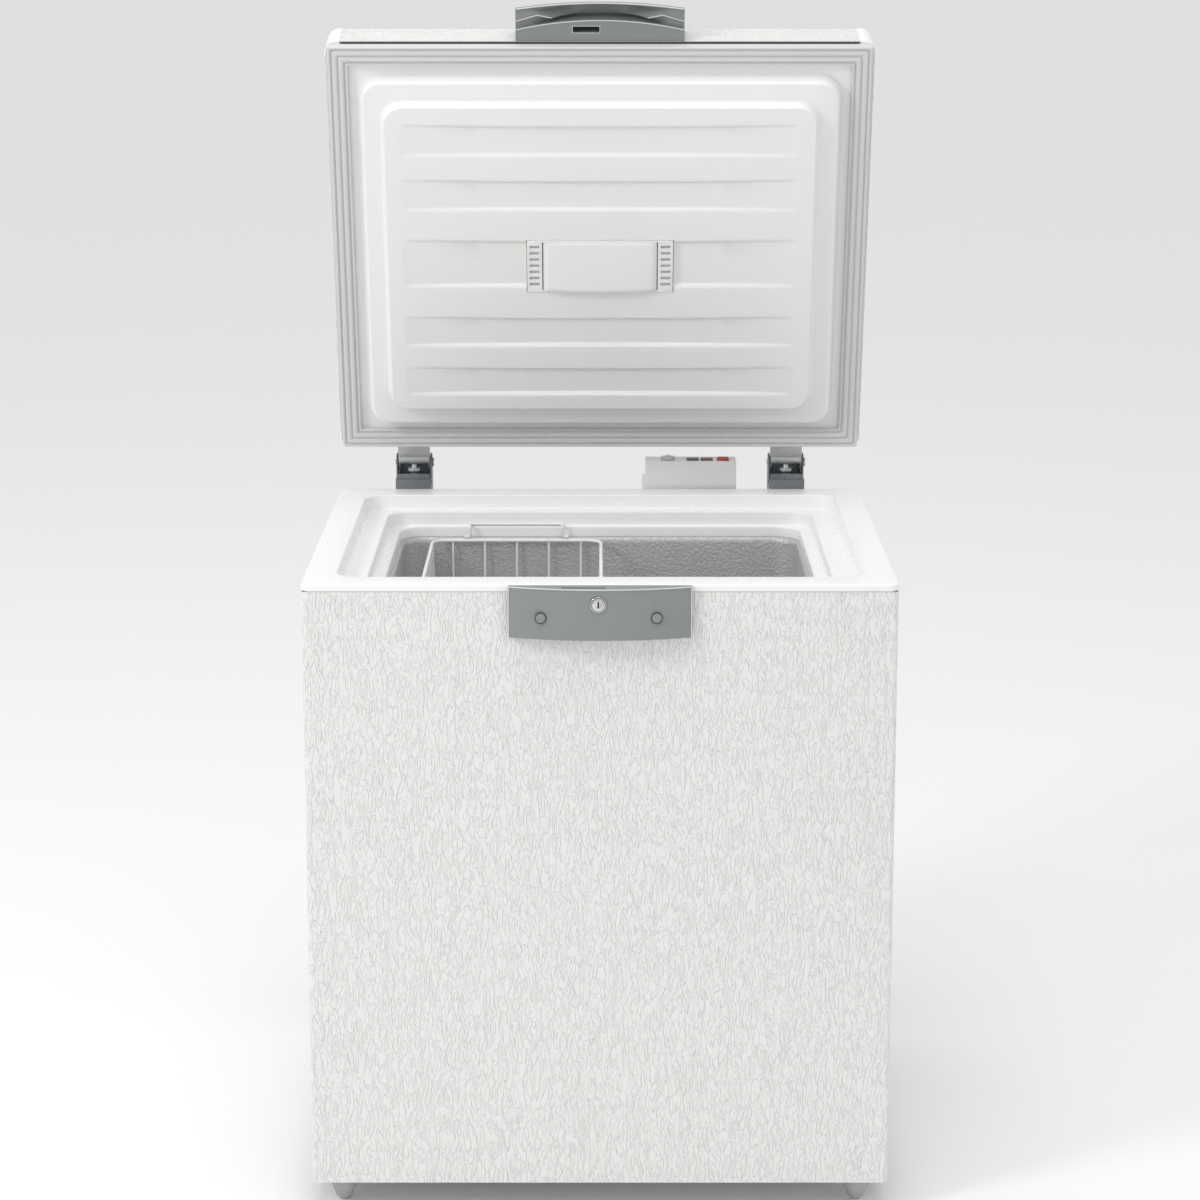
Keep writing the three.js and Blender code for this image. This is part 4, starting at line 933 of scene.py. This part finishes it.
def cap_shape(right, front):
    """A corner cap: a square plan whose outer corner is an arc, carried upwards. Near the top the two
    outer faces and the arc draw in along a quarter circle, which rounds the edge."""
    size, corner, rounding = 20.7, 18.0, 3.5
    turn = np.linspace(0, np.pi / 2, 7)
    inset = np.concatenate([[0.0, 0.0], rounding * (1 - np.cos(turn[1:]))])
    shoulder = LID_TOP - rounding
    height = np.concatenate([[LINER_Z + 0.4, shoulder], shoulder + rounding * np.sin(turn[1:])])
    sweep = np.linspace(0, np.pi / 2, 11)
    across = size - corner + (corner - inset[:, None]) * np.sin(sweep)
    deep = size - corner + (corner - inset[:, None]) * np.cos(sweep)
    edge = (size - inset)[:, None]
    zero = np.zeros_like(edge)
    x = np.concatenate([zero, zero, across, edge], 1)
    y = np.concatenate([zero, edge, deep, zero], 1)
    x = (HALF - size + x) * (1 if right else -1)
    y = size - y if front else DEPTH - size + y
    z = np.broadcast_to(height[:, None], x.shape)
    return surface(np.stack([x, y, z], -1), False, True, True, True)


def slot_frame():
    """A raised edge round the latch slot, in the pale grey of a painted highlight."""
    left, front, right, back = SLOT
    rim = 0.8
    outside = [left - rim, right + rim, front - rim, back + rim, 1.2]
    inside = [left, right, front, back, 0.8]
    low, high = LINER_Z + 1.2, LINER_Z + 4
    rows = [outside + [low], outside + [high], inside + [high], inside + [low]]
    return loft(soften(rows, 0.3, 2, True, (1, 5)), 3, True)


def joint_shadow_strip():
    """A dark strip that paints the shadow in the channel between the lid's sheet and its seal, along the
    front edge.
    """
    half = 342.0
    low, high = LINER_Z - 0.2, LINER_Z + 2.4
    return block(-half, 2.2, low, half, 5.2, high, 0.3)


def seal_root():
    """The pale strip that closes the edge of the foam between the lid's sheet and its seal."""
    half, front, back, width = 363.1, 4.6, DEPTH - 1.9, 5
    low, high = LINER_Z + 0.1, LINER_Z + 2.6
    outside = [-half, half, front, back, 12]
    inside = [-half + width, half - width, front + width, back - width, 8]
    return loft([outside + [low], outside + [high], inside + [high], inside + [low]], 6, True)


# ------------------------------------------------------------------ hardware
NODE_FINISHES = {
    "back_panel": ("rear_sheet", "plate_zinc", 0.3),
    "base_tray": ("floor_tray", "plate_zinc", 0.3),
    "lock_panel": ("lock_fascia", "panel_abs", 1.0),
    "lock_bezel": ("lock_ring", "chrome", 0.9),
    "lock_plug": ("key_barrel", "chrome", 0.3),
    "lock_cam": ("latch_cam", "plate_zinc", 0.3),
    "lock_nut": ("cam_nut", "plate_zinc", 0.3),
    "control_box": ("control_housing", "control_abs", 3.2),
    "thermostat_knob": ("control_dial", "control_grey", 0.4),
    "fast_freeze_key": ("boost_key", "orange_key", 0.4),
    "run_lamp": ("running_window", "green_lens", 0.4),
    "alarm_lamp": ("warning_window", "red_lens", 0.4),
    "compressor_rail": ("compressor_base", "plate_zinc", 0.5),
    "terminal_cover": ("terminal_box", "black_enamel", 2.0),
    "filter_drier": ("drier_cartridge", "copper_tube", 1.2),
    "side_grille": ("side_vent", "grille_pp", 0.5),
    "rear_cover": ("rear_vent", "plate_zinc", 0.3),
    "cord_gland": ("cord_bush", "black_rubber", 0.8),
    "drain_tube": ("drain_spout", "drain_pp", 0.4),
}
PLAIN_NODES = {
    "cabinet_foam": "foam", "lid_foam": "foam",
    "evaporator_coil": "copper_tube", "condenser_coil": "copper_tube",
    "suction_pipe": "copper_tube", "discharge_pipe": "copper_tube",
    "lamp_bulb": "bulb_glass",
}
COMPRESSOR_PROFILE = ((1, 0), (48, 0), (60, 14), (62, 30), (62, 92), (65, 92.5), (65, 99), (62, 99.5),
                      (59, 122), (44, 140), (22, 148), (1, 150))
LOCK_X, LOCK_Z = -2.0, RIM_TOP - 19


def laid_forward(shape, x, y, z):
    """A shape turned about z, laid so that its axis runs from front to back, and moved to a point."""
    points, faces = shape
    return points[:, [0, 2, 1]] + [x, y, z], faces


def hinge_shield(side):
    """Two thin plates that close a hinge housing: a low one in front of the push rod and a tall one
    behind it."""
    cheek = 2.2
    low, high = node_box("hinge_bracket_" + side)
    x0, x1, back = low[0] + cheek, high[0] - cheek, high[1]
    front = block(x0, DEPTH + 2.5, PIVOT_Z - 19.5, x1, DEPTH + 4.0, PIVOT_Z - 11.5, 0.2)
    rear = block(x0, back - 1.8, PIVOT_Z - 24, x1, back - 0.2, PIVOT_Z - 1, 0.2)
    return joined(front, rear)


def key_slot_shadow():
    """Painted shadow: a dark block at the bottom of the barrel's keyway, and a thin dark ring for the gap
    between barrel and ring."""
    way = block(LOCK_X - 1.3, -26.2, LOCK_Z - 4.2, LOCK_X + 1.3, -22.4, LOCK_Z + 4.2, 0.4)
    ring = loft(turned(0, 0, [[7.6, 0], [8.2, 0], [8.2, -1.0], [7.6, -1.0]]), 6, True)
    return joined(way, laid_forward(ring, LOCK_X, -25.9, LOCK_Z))


def compressor_shape():
    """A turned can: a rounded foot, a straight wall with the weld's flange round it, and a domed top."""
    low, high = node_box("compressor")
    x, y, _ = (low + high) / 2
    return loft(turned(x, y, soften(COMPRESSOR_PROFILE, 4, 4) + [0, low[2]]), 12)


def fascia_highlight_tubes():
    """Painted highlights: thin pale tubes along the fascia's bowed top and its two upright sides."""
    x = np.linspace(0.5 - GRIP_HALF, GRIP_HALF - 0.5, 49)
    top = np.stack([x, -bowed(x, GRIP_HALF, 8.0, 25.0), np.full_like(x, RIM_TOP - 1.0)], -1)
    shapes = [tube(top, 0.8, (0, 0, 1), 8)]
    for side in (-1, 1):
        upright = np.array([[side * 111.2, -8.2, RIM_TOP - 1.2], [side * 111.2, -8.2, RIM_TOP - 63.4]])
        shapes.append(tube(upright, 0.6, (1, 0, 0), 8))
    return joined(*shapes)


class FREEZER_OT_hardware(bpy.types.Operator):
    """Builds the lock, the control box, the hinges and the machinery"""
    bl_idname = "freezer.hardware"
    bl_label = "Hardware"

    def execute(self, context):
        for node, (name, shade, width) in NODE_FINISHES.items():
            soften_node(node, name, SHADES[shade], width)
        for node, shade in PLAIN_NODES.items():
            source = frame["nodes"][node]
            source.data.materials.clear()
            source.data.materials.append(SHADES[shade])
        for side in ("left", "right"):
            soften_node("hinge_bracket_" + side, "hinge_cheeks_" + side, SHADES["bracket_zinc"], 0.5)
            soften_node("hinge_leaf_" + side, "hinge_arm_" + side, SHADES["leaf_zinc"], 0.5)
            soften_node("hinge_pin_" + side, "hinge_rivet_" + side, SHADES["chrome"], 0.6)
            soften_node("hinge_plunger_" + side, "hinge_push_rod_" + side, SHADES["leaf_zinc"], 0.4)
            make("hinge_shield_" + side, hinge_shield(side), SHADES["bracket_zinc"], "cabinet", ())
            self.add_coil(side)
            self.add_cap(side)
        make("key_slot_shadow", key_slot_shadow(), SHADES["painted_shadow_dark"], "lock_barrel", ())
        make("lock_fascia_highlights", fascia_highlight_tubes(), SHADES["painted_highlight_pale"], "cabinet", (),
             angle=60)
        make("compressor_can", compressor_shape(), SHADES["black_enamel"], "cabinet", ("compressor",),
             angle=40)
        return {"FINISHED"}

    def add_coil(self, side):
        """A coil spring in place of the CAD spring, left where it is built."""
        node = "hinge_spring_" + side
        piece = mesh_object("hinge_coil_" + side, spring_shape(node))
        clean(piece.data)
        smooth_by_angle(piece.data, 60)
        piece.data.materials.append(SHADES["spring_steel"])
        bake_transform(piece)
        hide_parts(node)

    def add_cap(self, side):
        """A round cap with a thin dark ring of shadow round it."""
        low, high = node_box("screw_cap_" + side)
        x, _, z = (low + high) / 2
        profile = soften([[0.01, 0.6], [4.4, 0.6], [5.7, 0.9], [6.1, 1.6], [6.1, 7]], 0.6, 3)
        cover = loft(turned(0, 0, profile), 6)
        make("screw_cover_" + side, laid_forward(cover, x, low[1], z), SHADES["panel_abs"],
             "cabinet", ("screw_cap_" + side,))
        ring = loft(turned(0, 0, [[6.1, 1.4], [7.0, 1.4], [7.0, 1.0], [6.1, 1.0]]), 6, True)
        make("screw_cover_gap_" + side, laid_forward(ring, x, low[1], z), SHADES["painted_shadow_dark"],
             "cabinet", ())


# ------------------------------------------------------------------ stage
FLOOR_COLOUR, FLOOR_SPAN, FLOOR_GLOW = "#F4F4F4", 30.0, 0.07
WHITE = (1.0, 1.0, 1.0, 1.0)
CAMERA_PLACE = (0, -3538, 1645)
KEY_PLACE, KEY_AIM, KEY_SIZE = (-3.4, -2.4, 3.4), (0, 0, 0.7), 1.2
TOP_PLACE, TOP_AIM, TOP_SIZE, TOP_SHARE = (0.0, -0.6, 4.6), (0, 0, 0.6), 2.6, 0.7


class FREEZER_OT_stage(bpy.types.Operator):
    """Sets the floor, the soft lights and the camera"""
    bl_idname = "freezer.stage"
    bl_label = "Stage"

    def execute(self, context):
        settings = context.scene.freezer_settings
        span = FLOOR_SPAN
        mesh = bpy.data.meshes.new("studio_floor")
        points, faces = surface(np.stack(np.meshgrid([-span, span], [-span, span], [0.0]), -1)[:, :, 0])
        mesh.from_pydata(points.tolist(), [], faces)
        floor = bpy.data.objects.new("studio_floor", mesh)
        context.scene.collection.objects.link(floor)
        shade, tree, shader = new_material("matt_paper_floor", FLOOR_COLOUR, 0.9)
        tinted(tree, shader, object_place(tree), FLOOR_COLOUR, 0.004, 400)
        shader.inputs["Emission Color"].default_value = WHITE
        shader.inputs["Emission Strength"].default_value = FLOOR_GLOW
        mesh.materials.append(shade)
        clean(mesh)
        context.scene.view_settings.view_transform = "Standard"
        world = bpy.data.worlds.new("studio")
        context.scene.world = world
        world.use_nodes = True
        background = world.node_tree.nodes["Background"]
        background.inputs["Color"].default_value = WHITE
        background.inputs["Strength"].default_value = settings.ambient
        self.lamp("key_light", KEY_PLACE, KEY_AIM, KEY_SIZE, settings.key_watts)
        self.lamp("top_light", TOP_PLACE, TOP_AIM, TOP_SIZE, settings.key_watts * TOP_SHARE)
        camera_data = bpy.data.cameras.new("camera")
        camera = bpy.data.objects.new("camera", camera_data)
        context.scene.collection.objects.link(camera)
        camera_data.lens = settings.lens
        camera_data.sensor_width = 36
        camera_data.clip_end = 100
        camera_data.shift_y = settings.shift
        camera.location = place(CAMERA_PLACE).tolist()
        camera.rotation_euler = (math.pi / 2 - settings.pitch, 0, 0)
        context.scene.camera = camera
        return {"FINISHED"}

    def lamp(self, name, location, target, size, watts):
        """A round soft light aimed at a point."""
        data = bpy.data.lights.new(name, "AREA")
        data.shape = "DISK"
        data.size = size
        data.energy = watts
        light = bpy.data.objects.new(name, data)
        light.location = location
        direction = Vector(target) - Vector(location)
        light.rotation_euler = direction.to_track_quat("-Z", "Y").to_euler()
        bpy.context.scene.collection.objects.link(light)


# ------------------------------------------------------------------ settings and panel
class FreezerSettings(bpy.types.PropertyGroup):
    """The sizes, colours, camera and lights that a user may change"""
    skin_colour: bpy.props.StringProperty(
        name="Skin colour", description="Paint on the embossed steel, as sRGB hex", default="#EAEAE8")
    moulding_colour: bpy.props.StringProperty(
        name="Moulding colour", description="White plastic of the rim and corners, as sRGB hex",
        default="#F6F6F5")
    tub_colour: bpy.props.StringProperty(
        name="Tub colour", description="Aluminium lining, as sRGB hex", default="#C4C4C4")
    panel_colour: bpy.props.StringProperty(
        name="Panel colour", description="Grey plastic of the lock panel, as sRGB hex", default="#8B8E8E")
    wire_pitch: bpy.props.FloatProperty(
        name="Wire pitch", description="Distance between the basket's upright wires", default=0.044,
        min=0.015, unit="LENGTH", subtype="DISTANCE")
    lens: bpy.props.FloatProperty(
        name="Lens", description="Focal length of the camera in millimetres", default=89.68, min=10)
    shift: bpy.props.FloatProperty(
        name="Lens shift", description="Upward shift of the picture as a share of its width", default=-0.1)
    pitch: bpy.props.FloatProperty(
        name="Downward tilt", description="How far the camera looks down", default=math.radians(11.195),
        unit="ROTATION", subtype="ANGLE")
    ambient: bpy.props.FloatProperty(
        name="Ambient light", description="Strength of the even light from all round", default=0.74, min=0.0)
    key_watts: bpy.props.FloatProperty(
        name="Key light", description="Power of the main soft light", default=60.0, min=0.0, subtype="POWER")


class FREEZER_OT_materials(bpy.types.Operator):
    """Makes the finishes"""
    bl_idname = "freezer.materials"
    bl_label = "Finishes"

    def execute(self, context):
        make_materials(context.scene.freezer_settings)
        return {"FINISHED"}


STEPS = (FREEZER_OT_materials, FREEZER_OT_cabinet, FREEZER_OT_basket, FREEZER_OT_lid, FREEZER_OT_hardware,
         FREEZER_OT_stage)


class FREEZER_PT_panel(bpy.types.Panel):
    """Lists the freezer's settings and building steps"""
    bl_idname = "FREEZER_PT_panel"
    bl_label = "Chest freezer"
    bl_space_type = "VIEW_3D"
    bl_region_type = "UI"
    bl_category = "Freezer"

    def draw(self, context):
        settings = context.scene.freezer_settings
        for name in FreezerSettings.__annotations__:
            self.layout.prop(settings, name)
        for step in STEPS:
            self.layout.operator(step.bl_idname)


CLASSES = (FreezerSettings, *STEPS, FREEZER_PT_panel)


def register():
    for cls in CLASSES:
        bpy.utils.register_class(cls)
    bpy.types.Scene.freezer_settings = bpy.props.PointerProperty(type=FreezerSettings)


def unregister():
    del bpy.types.Scene.freezer_settings
    for cls in reversed(CLASSES):
        bpy.utils.unregister_class(cls)


def main():
    """Registers the add-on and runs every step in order."""
    register()
    for step in STEPS:
        group, name = step.bl_idname.split(".")
        getattr(getattr(bpy.ops, group), name)()


if __name__ == "__main__":
    main()
